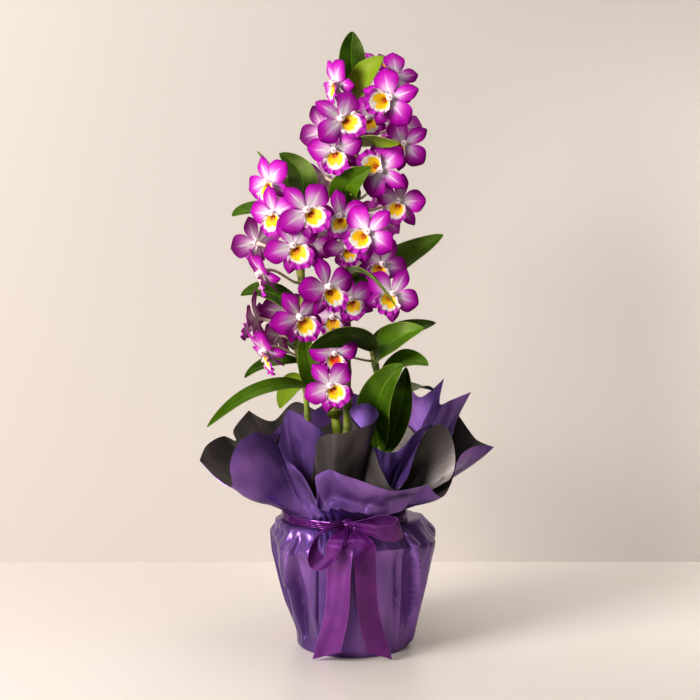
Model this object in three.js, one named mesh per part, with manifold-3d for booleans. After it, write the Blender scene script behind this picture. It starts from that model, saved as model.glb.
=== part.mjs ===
// A potted dendrobium orchid in gift wrap. Millimetres, +Z up, front towards -Y.
// The origin is the middle of the wrapped pot's foot.
import * as THREE from 'three';
import { mergeVertices } from 'three/addons/utils/BufferGeometryUtils.js';
import Module from 'manifold-3d';

const wasm = await Module();
wasm.setup();

// ---- driving dimensions ----
const GAP = 0.4; // clearance between pieces that touch
const TUCK_GAP = 0.9; // clearance between the faceted sheets where the ribbon gathers them

const POT_BOTTOM_R = 52;
const POT_RIM_R = 75;
const POT_WALL = 2.2;
const POT_FOOT_Z = 1.3;
const POT_RIM_Z = 112.3;
const POT_LIP = 2.4; // how far the rolled rim stands out
const POT_LIP_HEIGHT = 9;
const DRAIN_HOLE_R = 6;

const MIX_TOP_Z = 99;
const MIX_CROWN = 4; // how much the mix rises towards the middle
const HOLE_ROOM = 1.2; // how much wider than a cane its hole in the mix is
const CANE_FOOT_Z = 60; // how deep the canes stand in the mix

const FOOT_R = 57; // wrapped body
const SHOULDER_R = 85.5;
const SHOULDER_Z = 103;
const NECK_X = -9; // the neck is tied a little left of the pot's axis
const NECK_R = 61;
const NECK_LOW_Z = 130;
const NECK_HIGH_Z = 139;
const TUCK_LOW_Z = 122; // how far the two inner sheets reach down inside the neck
const FILM = 0.8; // film thickness

const PEDICEL_R = 1.4;
const BLADE = 1.3; // leaf thickness at the midrib
const TEPAL = 1.2; // petal thickness at the midrib

const vec = (x, y, z) => new THREE.Vector3(x, y, z);
const point = ([x, y, z]) => vec(x, y, z);
const rad = THREE.MathUtils.degToRad;
const onCircle = (angle, radius, z) => (
  vec(radius * Math.sin(rad(angle)), -radius * Math.cos(rad(angle)), z));

// ---- canes: the points of their axes from foot to top, and the radius ----
const CANES = {
  tall: { axis: [[-2, 12, 60], [-6, 10, 219], [-6, 6, 351], [1, 2, 488], [2, 2, 556]], r: 4.6 },
  left: {
    axis: [[-10, -12, 60], [-17, -14, 227], [-40, -13, 272], [-51, -10, 366], [-62, -6, 445], [-71, -2, 478]],
    r: 4.7,
  },
  short: { axis: [[-36, 14, 60], [-48, 18, 245], [-56, 20, 290], [-62, 24, 332]], r: 3.4 },
  right: { axis: [[24, -10, 60], [27, -16, 211], [26, -12, 262], [15, -8, 318]], r: 4.2 },
};
const INTERNODE = 32; // length of cane between two joints of it

// ---- leaves: cane, height of the node, bend and tip of the midrib, width, the way the face looks ----
const LEAVES = [
  { cane: 'tall', z: 550, bend: [-4, 8, 590], tip: [-1, 15, 617], width: 28, face: [0.2, -1, 0.2] },
  { cane: 'tall', z: 545, bend: [2, -22, 565], tip: [29, -25, 589], width: 31, face: [0.5, 0.85, -0.3] },
  { cane: 'tall', z: 505, bend: [10, -60, 514], tip: [43, -78, 503], width: 24, face: [0.1, 0.6, 0.8] },
  { cane: 'tall', z: 446, bend: [-24, -40, 456], tip: [17, -54, 482], width: 32, face: [0.2, -0.95, 0.35] },
  { cane: 'left', z: 440, bend: [-34, 18, 474], tip: [-75, 24, 497], width: 30, face: [-0.1, -0.95, 0.3] },
  { cane: 'left', z: 466, bend: [-82, 4, 480], tip: [-96, 12, 499], width: 13, face: [0.9, -0.2, 0.3] },
  { cane: 'left', z: 418, bend: [-96, 28, 452], tip: [-122, 12, 434], width: 25, face: [0.1, -0.6, 0.8] },
  { cane: 'tall', z: 366, bend: [40, 10, 382], tip: [89, -12, 416], width: 36, face: [-0.35, -0.8, 0.6] },
  { cane: 'tall', z: 370, bend: [4, -92, 402], tip: [40, -104, 351], width: 13, face: [0.5, 0.1, 0.85] },
  { cane: 'left', z: 330, bend: [-84, 16, 372], tip: [-114, 14, 354], width: 24, face: [0, -0.7, 0.75] },
  { cane: 'right', z: 300, bend: [4, -76, 346], tip: [-42, -92, 311], width: 29, face: [0.1, 0.75, 0.7] },
  { cane: 'right', z: 283, bend: [34, -44, 312], tip: [67, -56, 330], width: 35, face: [-0.25, -0.75, 0.65] },
  { cane: 'right', z: 308, bend: [46, 14, 320], tip: [84, 20, 326], width: 22, face: [0, -0.7, 0.7] },
  { cane: 'right', z: 262, bend: [44, -40, 306], tip: [73, -48, 290], width: 27, face: [0, -0.7, 0.75] },
  { cane: 'right', z: 200, bend: [10, -50, 262], tip: [48, -58, 292], width: 38, face: [-0.35, -0.85, 0.35] },
  { cane: 'right', z: 196, bend: [50, -26, 232], tip: [52, -24, 286], width: 27, face: [-0.35, -0.95, 0.1] },
  { cane: 'left', z: 262, bend: [-90, -56, 286], tip: [-141, -74, 233], width: 21, face: [0.25, -0.45, 0.8] },
  { cane: 'left', z: 258, bend: [-42, -44, 284], tip: [-49, -40, 320], width: 25, face: [-0.2, -0.95, 0.1] },
  { cane: 'short', z: 286, bend: [-88, 24, 292], tip: [-111, 16, 270], width: 18, face: [-0.2, -0.6, 0.8] },
  { cane: 'short', z: 262, bend: [-66, 34, 268], tip: [-76, 36, 236], width: 26, face: [-0.5, -0.8, 0.3] },
  { cane: 'left', z: 232, bend: [-22, -36, 238], tip: [-12, -52, 247], width: 15, face: [0, -0.5, -0.85] },
  { cane: 'tall', z: 470, bend: [28, 46, 498], tip: [46, 80, 484], width: 28, face: [0.1, 0.4, 0.9] },
  { cane: 'tall', z: 330, bend: [-14, 62, 352], tip: [-30, 98, 326], width: 30, face: [-0.1, 0.5, 0.85] },
  { cane: 'short', z: 296, bend: [-70, 58, 320], tip: [-92, 88, 306], width: 26, face: [-0.2, 0.4, 0.9] },
  { cane: 'right', z: 240, bend: [52, 30, 268], tip: [84, 58, 252], width: 28, face: [0.3, 0.2, 0.9] },
];

// ---- blooms: middle of the flower, turn to the right, nod upwards, direction of the dorsal sepal ----
// turn 0 looks to the front, and dorsal 90 stands upright, 0 points to the viewer's right.
const BLOOMS = [
  { at: [-16, -14, 564], turn: -60, nod: -8, dorsal: 128, size: 0.96, cane: 'tall' },
  { at: [35, -42, 547], turn: -12, nod: 2, dorsal: 22, size: 1.04, cane: 'tall' },
  { at: [-13, -49, 527], turn: 22, nod: 5, dorsal: 145, size: 1.02, cane: 'tall', stalk: 520 },
  { at: [-18, -44, 499], turn: -8, nod: -18, dorsal: 99, size: 0.96, cane: 'tall' },
  { at: [27, -38, 480], turn: -20, nod: -4, dorsal: -36, size: 1.0, cane: 'tall' },
  { at: [50, -6, 505], turn: -12, nod: 0, dorsal: 36, size: 0.94, cane: 'tall' },
  { at: [46, -12, 449], turn: -24, nod: -6, dorsal: 80, size: 0.96, cane: 'tall' },
  { at: [41, 8, 570], turn: 16, nod: 12, dorsal: 16, size: 0.94, cane: 'tall' },
  { at: [24, 30, 584], turn: 30, nod: 36, dorsal: 110, size: 0.76, cane: 'tall' },
  { at: [14, -20, 530], turn: 4, nod: -14, dorsal: 110, size: 0.76, cane: 'tall' },
  { at: [-82, -22, 467], turn: -42, nod: -2, dorsal: 118, size: 1.0, cane: 'left' },
  { at: [-77, -46, 438], turn: -24, nod: -10, dorsal: 100, size: 0.92, cane: 'left' },
  { at: [-95, -12, 408], turn: -150, nod: 2, dorsal: 66, size: 1.0, cane: 'left' },
  { at: [-45, -66, 440], turn: 14, nod: 2, dorsal: 134, size: 1.04, cane: 'left' },
  { at: [-12, -44, 434], turn: -14, nod: 4, dorsal: 98, size: 0.94, cane: 'tall' },
  { at: [14, -62, 419], turn: -14, nod: 4, dorsal: 46, size: 1.02, cane: 'tall' },
  { at: [-58, -64, 407], turn: 12, nod: -4, dorsal: 120, size: 1.0, cane: 'left' },
  { at: [-8, -38, 406], turn: 22, nod: -20, dorsal: 112, size: 0.78, cane: 'tall' },
  { at: [27, -24, 388], turn: 10, nod: -8, dorsal: 62, size: 0.94, cane: 'tall' },
  { at: [-26, -68, 367], turn: 30, nod: 2, dorsal: 104, size: 1.04, cane: 'left' },
  { at: [37, -40, 359], turn: 8, nod: 2, dorsal: 57, size: 0.98, cane: 'tall' },
  { at: [-53, -60, 339], turn: 24, nod: -16, dorsal: 124, size: 1.02, cane: 'left' },
  { at: [-2, -38, 354], turn: 0, nod: -4, dorsal: 108, size: 0.86, cane: 'tall' },
  { at: [-89, -24, 380], turn: -70, nod: -34, dorsal: 118, size: 0.96, cane: 'left' },
  { at: [-97, -8, 333], turn: -106, nod: -4, dorsal: 92, size: 0.96, cane: 'left' },
  { at: [-86, -30, 304], turn: -56, nod: -40, dorsal: 128, size: 1.0, cane: 'left' },
  { at: [-19, -48, 302], turn: 8, nod: -8, dorsal: 92, size: 0.84, cane: 'right' },
  { at: [-23, -66, 272], turn: 12, nod: 4, dorsal: 124, size: 0.94, cane: 'left', stalk: 250 },
  { at: [-76, 2, 315], turn: -120, nod: -10, dorsal: 95, size: 0.84, cane: 'short' },
  { at: [-28, 24, 474], turn: 176, nod: 6, dorsal: 84, size: 1.0, cane: 'tall' },
  { at: [-43, -26, 404], turn: -10, nod: 4, dorsal: 80, size: 0.9, cane: 'left' },
  { at: [-64, 26, 450], turn: -158, nod: 10, dorsal: 96, size: 0.94, cane: 'left' },
  { at: [26, 12, 462], turn: 110, nod: 4, dorsal: 90, size: 0.94, cane: 'tall' },
  { at: [-20, -22, 336], turn: -10, nod: -14, dorsal: 96, size: 0.86, cane: 'tall' },
  { at: [44, 16, 522], turn: 150, nod: 2, dorsal: 100, size: 0.94, cane: 'tall' },
  { at: [-28, 34, 520], turn: 196, nod: 4, dorsal: 62, size: 1.0, cane: 'tall' },
  { at: [30, 40, 436], turn: 160, nod: -6, dorsal: 84, size: 1.0, cane: 'tall' },
  { at: [-40, 34, 416], turn: 192, nod: 4, dorsal: 94, size: 1.04, cane: 'left' },
  { at: [8, 46, 384], turn: 176, nod: -8, dorsal: 104, size: 1.0, cane: 'tall' },
  { at: [-70, 24, 338], turn: 214, nod: -6, dorsal: 84, size: 0.98, cane: 'left' },
];

// ---- wrap: the rims of the three sheets, as [angle at the neck, x, y, z] ----
const OUTER_RIM = [
  [-30, -64, -62, 200], [-26, -46, -70, 180], [-22, -36, -76, 161], [-18, -37, -83, 178],
  [-14, -37, -87, 188], [-8, -23, -94, 196], [-2, -8, -99, 191], [8, 25, -102, 179],
  [17, 44, -98, 176], [29, 71, -84, 179], [38, 84, -74, 165], [47, 94, -61, 174],
  [58, 104, -48, 200], [69, 120, -34, 208], [80, 140, -20, 205], [90, 126, 2, 208],
  [100, 118, 24, 216], [112, 106, 56, 232], [125, 88, 76, 222], [140, 66, 98, 238],
  [155, 38, 104, 222], [170, 8, 112, 238], [186, -26, 102, 220], [202, -62, 102, 234],
  [216, -86, 82, 216], [230, -110, 64, 230], [244, -124, 38, 214], [256, -120, 14, 206],
  [266, -132, -2, 213], [275, -147, -16, 206], [283, -152, -36, 194], [291, -134, -52, 179],
  [299, -118, -64, 173], [306, -119, -76, 196], [312, -112, -80, 216], [318, -96, -74, 228],
  [324, -79, -62, 220],
];
const MIDDLE_RIM = [
  [-24, -37, -60, 204], [-17, -35, -65, 218], [-11, -22, -76, 229], [-3, -6, -80, 232],
  [5, 17, -73, 236], [9, 24, -61, 245], [12, 12, -48, 253], [15, -4, -43, 242],
  [18, 18, -63, 213], [21, 26, -71, 193], [25, 38, -76, 173], [28, 51, -76, 183],
  [31, 60, -72, 209], [34, 70, -70, 229], [37, 86, -66, 234], [40, 96, -66, 218],
  [42, 98, -69, 196], [44, 92, -71, 181], [48, 86, -62, 188], [58, 90, -46, 208],
  [72, 98, -22, 216], [87, 104, 6, 226], [99, 112, 26, 238], [108, 122, 44, 252],
  [116, 106, 54, 236], [127, 96, 74, 263], [138, 72, 74, 243], [150, 56, 82, 252],
  [164, 28, 82, 234], [180, -8, 88, 246], [196, -42, 80, 228], [212, -66, 70, 224],
  [226, -84, 54, 208], [242, -93, 34, 202], [258, -88, 8, 186], [274, -82, -14, 178],
  [290, -74, -32, 172], [306, -62, -46, 170], [320, -48, -54, 172], [330, -41, -58, 182],
];
const INNER_RIM = [
  [-50, -68, -44, 238], [-44, -62, -47, 246], [-34, -48, -49, 238], [-22, -30, -51, 225],
  [-10, -15, -44, 213], [4, 2, -41, 205], [16, 20, -40, 208], [26, 32, -41, 203],
  [36, 46, -42, 206], [46, 60, -42, 222], [58, 74, -38, 230], [68, 82, -28, 226],
  [82, 80, -6, 210], [96, 82, 12, 206], [110, 76, 32, 218], [126, 64, 48, 208],
  [144, 42, 62, 222], [164, 14, 66, 208], [184, -18, 68, 220], [204, -50, 58, 206],
  [224, -70, 44, 216], [244, -80, 22, 204], [264, -80, 0, 200], [284, -76, -20, 204],
  [300, -72, -34, 220],
];
// Upright folds of the wrapped body, as [angle, depth, width in degrees].
const BODY_FOLDS = [
  [-42, 8, 6], [47, 8, 7], [8, 2, 9], [106, 5, 7], [140, 6, 8], [186, 5, 8], [230, 6, 8], [260, 5, 7],
];

// ---- ribbon: centre lines of its strips, with the way the width runs ----
const RIBBON = 1.0;
const BAND_LOW_Z = 131;
const BAND_HIGH_Z = 137.5;
const KNOT = [-5, -66.5, 136];
const KNOT_HALF = [9, 5, 6.5];
const LOOPS = [
  {
    path: [
      [-7, -71, 137], [-19, -79, 139], [-31, -87, 135], [-38, -94, 125], [-39, -98, 114], [-34, -100, 107],
      [-25, -101, 106], [-16, -100, 112], [-10, -95, 122], [-6, -77, 134],
    ],
    across: [0.5, 0.65, 0.55],
    width: 19,
  },
  {
    path: [
      [-2, -71, 137], [13, -76, 142], [27, -79, 145], [38, -83, 144], [45, -89, 140], [38, -95, 136],
      [26, -96, 136], [13, -90, 138], [1, -77, 136],
    ],
    across: [-0.25, 0.2, 0.95],
    width: 21,
  },
];
// A tail's end is cut aslant: its long corner runs on past the end of the path, its short one stops short.
const TAILS = [
  {
    path: [[-9, -71, 134], [-13, -90.5, 124], [-14, -92, 104], [-16, -84, 55], [-24, -71, 7]],
    width: 26,
    longCorner: -1,
  },
  {
    path: [[-1, -71, 134], [8, -90.5, 124], [11, -93, 104], [14, -85, 55], [23, -71, 7]],
    width: 23,
    longCorner: 1,
  },
];
const CUT_LONG = [5, 0.8, -5.5];
const CUT_SHORT = [0, 0.8, 5];

// ---- meshes and solids ----
function meshOf(points, faces) {
  const geometry = new THREE.BufferGeometry();
  const positions = points.flatMap((p) => [p.x, p.y, p.z]);
  geometry.setAttribute('position', new THREE.Float32BufferAttribute(positions, 3));
  geometry.setIndex(faces.flat());
  return geometry;
}

function solidOf(geometry) {
  const plain = geometry.clone();
  plain.deleteAttribute('normal');
  plain.deleteAttribute('uv');
  const merged = mergeVertices(plain, 1e-4);
  return new wasm.Manifold(new wasm.Mesh({
    numProp: 3,
    vertProperties: new Float32Array(merged.attributes.position.array),
    triVerts: new Uint32Array(merged.index.array),
  }));
}

function geometryOf(solid) {
  const mesh = solid.getMesh();
  const geometry = new THREE.BufferGeometry();
  geometry.setAttribute('position', new THREE.BufferAttribute(new Float32Array(mesh.vertProperties), 3));
  geometry.setIndex(new THREE.BufferAttribute(new Uint32Array(mesh.triVerts), 1));
  return geometry;
}

const SMALLEST_STEP = 0.03; // shorter steps where solids meet are smoothed out
const joined = (solids) => (
  solids.slice(1).reduce((whole, part) => whole.add(part), solids[0]).simplify(SMALLEST_STEP));

// A thin blade with a raised midrib: rows of left edge, midrib and right edge between a root and a tip.
// Both faces are split alike.
function bladeSolid(root, rows, tip, thickness) {
  const points = [root, tip];
  for (const row of rows) {
    const half = row.normal.clone().multiplyScalar(thickness / 2);
    points.push(row.left, row.right, row.middle.clone().add(half), row.middle.clone().sub(half));
  }
  const faces = [];
  const corner = (row, which) => 2 + 4 * row + which;
  const last = rows.length - 1;
  for (const [middle, flip] of [[2, false], [3, true]]) {
    const add = (a, b, c) => faces.push(flip ? [a, c, b] : [a, b, c]);
    add(0, corner(0, middle), corner(0, 0));
    add(0, corner(0, 1), corner(0, middle));
    for (let row = 0; row < last; row += 1) {
      add(corner(row, 0), corner(row, middle), corner(row + 1, middle));
      add(corner(row, 0), corner(row + 1, middle), corner(row + 1, 0));
      add(corner(row, middle), corner(row, 1), corner(row + 1, 1));
      add(corner(row, middle), corner(row + 1, 1), corner(row + 1, middle));
    }
    add(corner(last, 0), corner(last, middle), 1);
    add(corner(last, middle), corner(last, 1), 1);
  }
  return solidOf(meshOf(points, faces));
}

// A tube through rings of points, closed at both ends.
function tubeSolid(rings) {
  const sides = rings[0].length;
  const points = rings.flat();
  const faces = [];
  rings.slice(1).forEach((_, row) => {
    for (let side = 0; side < sides; side += 1) {
      const next = (side + 1) % sides;
      const [a, b] = [row * sides + side, row * sides + next];
      faces.push([a, b, b + sides], [a, b + sides, a + sides]);
    }
  });
  const top = (rings.length - 1) * sides;
  for (let side = 1; side < sides - 1; side += 1) {
    faces.push([0, side + 1, side], [top, top + side, top + side + 1]);
  }
  return solidOf(meshOf(points, faces));
}

// A ring of points round a centre, counterclockwise as seen from the end that the direction points to.
function ringAt(centre, direction, radius, sides, across = vec(1, 0, 0)) {
  const v = direction.clone().cross(across).normalize();
  const u = v.clone().cross(direction).normalize();
  return Array.from({ length: sides }, (_, i) => {
    const angle = (i / sides) * 2 * Math.PI;
    return centre.clone()
      .addScaledVector(u, radius * Math.cos(angle)).addScaledVector(v, radius * Math.sin(angle));
  });
}

// ---- canes with their leaves ----
const caneCurve = (cane) => new THREE.CatmullRomCurve3(cane.axis.map(point), false, 'catmullrom', 0.5);

function caneAt(cane, height) {
  const curve = caneCurve(cane);
  let [low, high] = [0, 1];
  for (let step = 0; step < 30; step += 1) {
    const middle = (low + high) / 2;
    if (curve.getPoint(middle).z < height) low = middle; else high = middle;
  }
  const centre = curve.getPoint(low);
  const ahead = curve.getPoint(Math.min(1, low + 0.004));
  const behind = curve.getPoint(Math.max(0, low - 0.004));
  return { centre, direction: ahead.sub(behind).normalize() };
}

const NODE_SWELL = 1.1;
const WAIST = 0.94;
const TOP_TAPER = 0.3; // how much thinner a cane's top is
const PLUMB_Z = MIX_TOP_Z + 15; // below this a cane is cut level and stands plumb in its hole

function caneSolid(cane) {
  const foot = cane.axis[0][2];
  const top = cane.axis.at(-1)[2];
  const count = Math.round((top - foot) / INTERNODE);
  const rings = [];
  for (let i = 0; i <= 2 * count; i += 1) {
    const height = foot + ((top - foot) * i) / (2 * count);
    const { centre, direction } = caneAt(cane, height);
    const taper = 1 - TOP_TAPER * (i / (2 * count)) ** 3;
    const radius = cane.r * taper * (i % 2 === 0 ? NODE_SWELL : WAIST);
    if (height < PLUMB_Z) rings.push(ringAt(centre, vec(0, 0, 1), cane.r, 6));
    else rings.push(ringAt(centre, direction, radius, 6));
  }
  return tubeSolid(rings);
}

const LEAF_ROWS = [0.1, 0.3, 0.53, 0.77];
const LEAF_FOLD = 0.3; // how far the edges rise over the midrib, in half widths
const leafWidth = (t) => Math.sin(Math.PI * t ** 0.85) ** 0.65;

function leafRow(leaf, root, t) {
  const [bend, tip] = [point(leaf.bend), point(leaf.tip)];
  const middle = root.clone().multiplyScalar((1 - t) ** 2)
    .addScaledVector(bend, 2 * t * (1 - t)).addScaledVector(tip, t ** 2);
  const along = bend.clone().sub(root).multiplyScalar(1 - t)
    .addScaledVector(tip.clone().sub(bend), t).normalize();
  const side = along.clone().cross(point(leaf.face)).normalize();
  const normal = side.clone().cross(along);
  const half = (leaf.width / 2) * leafWidth(t);
  const lift = normal.clone().multiplyScalar(LEAF_FOLD * half);
  return {
    middle,
    normal,
    left: middle.clone().addScaledVector(side, -half).add(lift),
    right: middle.clone().addScaledVector(side, half).add(lift),
  };
}

function leafSolid(leaf) {
  const root = caneAt(CANES[leaf.cane], leaf.z).centre;
  return bladeSolid(root, LEAF_ROWS.map((t) => leafRow(leaf, root, t)), point(leaf.tip), BLADE);
}

const bareCanes = Object.fromEntries(Object.entries(CANES).map(([name, cane]) => [name, caneSolid(cane)]));

function leafyCane(name) {
  return joined([bareCanes[name], ...LEAVES.filter((leaf) => leaf.cane === name).map(leafSolid)]);
}

// ---- blooms ----
// Angle from the dorsal sepal, length, width, where the widest place is, how far it starts in front of the
// flower's middle and how far its tip bends back, and the rows that its surface has.
const DORSAL = { angle: 0, length: 29, width: 16, widest: 0.58, front: 0, recurve: 3, rows: [0.32, 0.74] };
const PETAL = {
  angle: 78, length: 29.5, width: 24, widest: 0.6, front: 1.4, recurve: 2.5, rows: [0.24, 0.52, 0.8],
};
const LATERAL = {
  angle: 142, length: 28.5, width: 15, widest: 0.54, front: -0.6, recurve: 4, rows: [0.32, 0.74],
};
const TEPALS = [
  DORSAL, PETAL, { ...PETAL, angle: -PETAL.angle }, LATERAL, { ...LATERAL, angle: -LATERAL.angle },
];
const FULLNESS = 1.6; // how slowly a tepal widens and narrows
const TEPAL_ROOT = 1.5; // distance of its root from the flower's middle
const TEPAL_ARCH = 2.4; // how far it arches forward
const TEPAL_CUP = 1.2; // how far its edges lie back

// Half width along a tepal, 1 where it is widest.
function tepalWidth(t, widest) {
  const rise = (t / widest) ** (widest * FULLNESS);
  const fall = ((1 - t) / (1 - widest)) ** ((1 - widest) * FULLNESS);
  return rise * fall;
}

// The flower's own frame: y to the dorsal sepal, z to the front, x to the viewer's right.
function bloomFrame(bloom) {
  const [turn, nod, dorsal] = [rad(bloom.turn), rad(bloom.nod), rad(bloom.dorsal)];
  const front = vec(Math.sin(turn) * Math.cos(nod), -Math.cos(turn) * Math.cos(nod), Math.sin(nod));
  const up = vec(-Math.sin(turn) * Math.sin(nod), Math.cos(turn) * Math.sin(nod), Math.cos(nod));
  const right = vec(Math.cos(turn), Math.sin(turn), 0);
  const y = right.clone().multiplyScalar(Math.cos(dorsal)).addScaledVector(up, Math.sin(dorsal));
  return { x: y.clone().cross(front), y, z: front };
}

function placed(bloom, local) {
  const frame = bloomFrame(bloom);
  return point(bloom.at).addScaledVector(frame.x, local.x * bloom.size)
    .addScaledVector(frame.y, local.y * bloom.size).addScaledVector(frame.z, local.z * bloom.size);
}

// A point of a tepal's face in the flower's frame: t from root to tip, side from -1 to 1.
function tepalPoint(tepal, t, side) {
  const angle = rad(tepal.angle);
  const across = (side * tepal.width / 2) * tepalWidth(t, tepal.widest);
  const out = TEPAL_ROOT + (tepal.length - TEPAL_ROOT) * t;
  const arch = TEPAL_ARCH * Math.sin(Math.PI * t * 0.85);
  const depth = tepal.front + arch - tepal.recurve * t * t - TEPAL_CUP * side * side * t;
  return vec(
    out * Math.sin(angle) + across * Math.cos(angle),
    out * Math.cos(angle) - across * Math.sin(angle),
    depth,
  );
}

// The five tepals as one star: neighbours share a point near the middle, so no two of them cross.
// The column is the star's raised middle.
const JOINT_R = 3.2;
const COLUMN_TIP = vec(0, 1.4, 8.5);
const STAR_BACK = vec(0, -1, -3.4);
const FIRST_MIDRIB = 0.12;

function starSolid(bloom) {
  const { z } = bloomFrame(bloom);
  const half = z.clone().multiplyScalar((TEPAL * bloom.size) / 2);
  const points = [placed(bloom, COLUMN_TIP), placed(bloom, STAR_BACK)];
  const round = [...TEPALS].sort((a, b) => a.angle - b.angle);
  const joints = round.map((tepal, i) => {
    const next = round[(i + 1) % round.length].angle + (i + 1 < round.length ? 0 : 360);
    const angle = rad((tepal.angle + next) / 2);
    points.push(placed(bloom, vec(JOINT_R * Math.sin(angle), JOINT_R * Math.cos(angle), 0)));
    return points.length - 1;
  });
  const faces = [];
  round.forEach((tepal, i) => {
    const middle = (t) => {
      const at = placed(bloom, tepalPoint(tepal, t, 0));
      points.push(at.clone().add(half), at.clone().sub(half));
      return [points.length - 2, points.length - 1];
    };
    let left = joints[(i + round.length - 1) % round.length];
    let right = joints[i];
    let [front, back] = middle(FIRST_MIDRIB);
    faces.push([0, front, left], [0, right, front], [1, left, back], [1, back, right]);
    for (const t of tepal.rows) {
      points.push(placed(bloom, tepalPoint(tepal, t, -1)), placed(bloom, tepalPoint(tepal, t, 1)));
      const [nextLeft, nextRight] = [points.length - 2, points.length - 1];
      const [nextFront, nextBack] = middle(t);
      faces.push([left, front, nextFront], [left, nextFront, nextLeft]);
      faces.push([front, right, nextRight], [front, nextRight, nextFront]);
      faces.push([left, nextBack, back], [left, nextLeft, nextBack]);
      faces.push([back, nextRight, right], [back, nextBack, nextRight]);
      [left, right, front, back] = [nextLeft, nextRight, nextFront, nextBack];
    }
    points.push(placed(bloom, tepalPoint(tepal, 1, 0)));
    const tip = points.length - 1;
    faces.push([left, front, tip], [front, right, tip], [left, tip, back], [back, tip, right]);
  });
  return solidOf(meshOf(points, faces));
}

const THROAT = vec(0, -2.2, 1.6);
const MOUTH = vec(0, -10.5, 11.5);
const MOUTH_WIDE = 12.5;
const MOUTH_TALL = 12;
const MOUTH_TILT = rad(24);
const LIP_SIDES = 7;
const LIP_WALL = 1.5;

// A point of the trumpet lip: reach 0 in the throat and 1 at the frilled margin.
function lipPoint(reach, angle, frill = 0) {
  const deep = reach ** 0.85;
  const [wide, tall] = [MOUTH_WIDE * reach * Math.cos(angle), MOUTH_TALL * reach * Math.sin(angle)];
  return THROAT.clone().lerp(MOUTH, deep).add(vec(
    wide,
    -tall * Math.cos(MOUTH_TILT) + frill * Math.sin(MOUTH_TILT),
    tall * Math.sin(MOUTH_TILT) + frill * Math.cos(MOUTH_TILT),
  ));
}

function lipSolid(bloom) {
  const back = vec(0, -Math.sin(MOUTH_TILT), -Math.cos(MOUTH_TILT)).multiplyScalar(LIP_WALL);
  const angles = Array.from({ length: LIP_SIDES }, (_, i) => ((i + 0.5) / LIP_SIDES) * 2 * Math.PI);
  const points = [
    lipPoint(0, 0), lipPoint(0, 0).add(back),
    ...angles.map((angle) => lipPoint(0.55, angle)),
    ...angles.map((angle) => lipPoint(0.55, angle).add(back)),
    ...angles.map((angle, i) => lipPoint(1, angle, i % 2 ? 1 : -1)),
  ].map((local) => placed(bloom, local));
  const faces = [];
  const [inner, outer, rim] = [2, 2 + LIP_SIDES, 2 + 2 * LIP_SIDES];
  for (let i = 0; i < LIP_SIDES; i += 1) {
    const j = (i + 1) % LIP_SIDES;
    faces.push([0, inner + j, inner + i], [inner + i, inner + j, rim + j], [inner + i, rim + j, rim + i]);
    faces.push([1, outer + i, outer + j], [outer + j, outer + i, rim + j], [rim + j, outer + i, rim + i]);
  }
  return solidOf(meshOf(points, faces));
}

const PEDICEL_DROP = 11; // how far below the flower its stalk leaves the cane
const PEDICEL_SWEEP = 13; // how far it runs straight back from the flower

// The stalk runs back from the flower, bends, and meets the cane square on, at a distance from its axis.
function pedicelPath(bloom, reach) {
  const cane = CANES[bloom.cane];
  const start = placed(bloom, vec(0, -0.9, -1.6));
  const { z } = bloomFrame(bloom);
  const height = bloom.stalk ?? Math.min(bloom.at[2] - PEDICEL_DROP, cane.axis.at(-1)[2] - 6);
  const { centre, direction } = caneAt(cane, height);
  const outward = start.clone().sub(centre);
  outward.addScaledVector(direction, -outward.dot(direction)).normalize();
  const end = centre.clone().addScaledVector(outward, reach);
  const first = start.clone().addScaledVector(z, -PEDICEL_SWEEP);
  const second = end.clone().addScaledVector(outward, 9);
  return new THREE.CubicBezierCurve3(start, first, second, end);
}

const PEDICEL_STEPS = 3;

function pedicelTube(bloom, reach) {
  const curve = pedicelPath(bloom, reach);
  const rings = [];
  for (let step = 0; step <= PEDICEL_STEPS; step += 1) {
    const t = step / PEDICEL_STEPS;
    rings.push(ringAt(curve.getPoint(t), curve.getTangent(t), PEDICEL_R, 3, bloomFrame(bloom).x));
  }
  return tubeSolid(rings);
}

// The stalk is drawn in until it ends a seat's width from its cane.
const SEAT = 0.3;

function pedicelSolid(bloom) {
  const carrier = bareCanes[bloom.cane];
  let reach = CANES[bloom.cane].r * NODE_SWELL + SEAT;
  let tube = pedicelTube(bloom, reach);
  for (let step = 0; step < 3; step += 1) {
    reach -= tube.minGap(carrier, CANES[bloom.cane].r) - SEAT;
    tube = pedicelTube(bloom, reach);
  }
  return tube;
}

const bloomSolid = (bloom) => joined([starSolid(bloom), lipSolid(bloom), pedicelSolid(bloom)]);

// Blooms that cross are fused in one node, which is named after them all.
const CROSSING = 1e-3;

function fusedBlooms() {
  let groups = BLOOMS.map((bloom, index) => ({ ids: [index + 1], solid: bloomSolid(bloom) }));
  let changed = true;
  while (changed) {
    changed = false;
    for (let i = 0; i < groups.length && !changed; i += 1) {
      const crossing = groups.findIndex((other, j) => (
        j > i && groups[i].solid.intersect(other.solid).volume() > CROSSING));
      if (crossing > 0) {
        const [whole, other] = [groups[i], groups[crossing]];
        groups[i] = { ids: [...whole.ids, ...other.ids], solid: joined([whole.solid, other.solid]) };
        groups = groups.filter((_, j) => j !== crossing);
        changed = true;
      }
    }
  }
  return groups;
}

// ---- pot and mix ----
const potInner = (z) => POT_BOTTOM_R - POT_WALL + ((POT_RIM_R - POT_BOTTOM_R - POT_LIP) * z) / POT_RIM_Z;

const turned = (outline, sides) => (
  new THREE.LatheGeometry(outline.map(([r, z]) => new THREE.Vector2(r, z)), sides).rotateX(Math.PI / 2));

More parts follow.
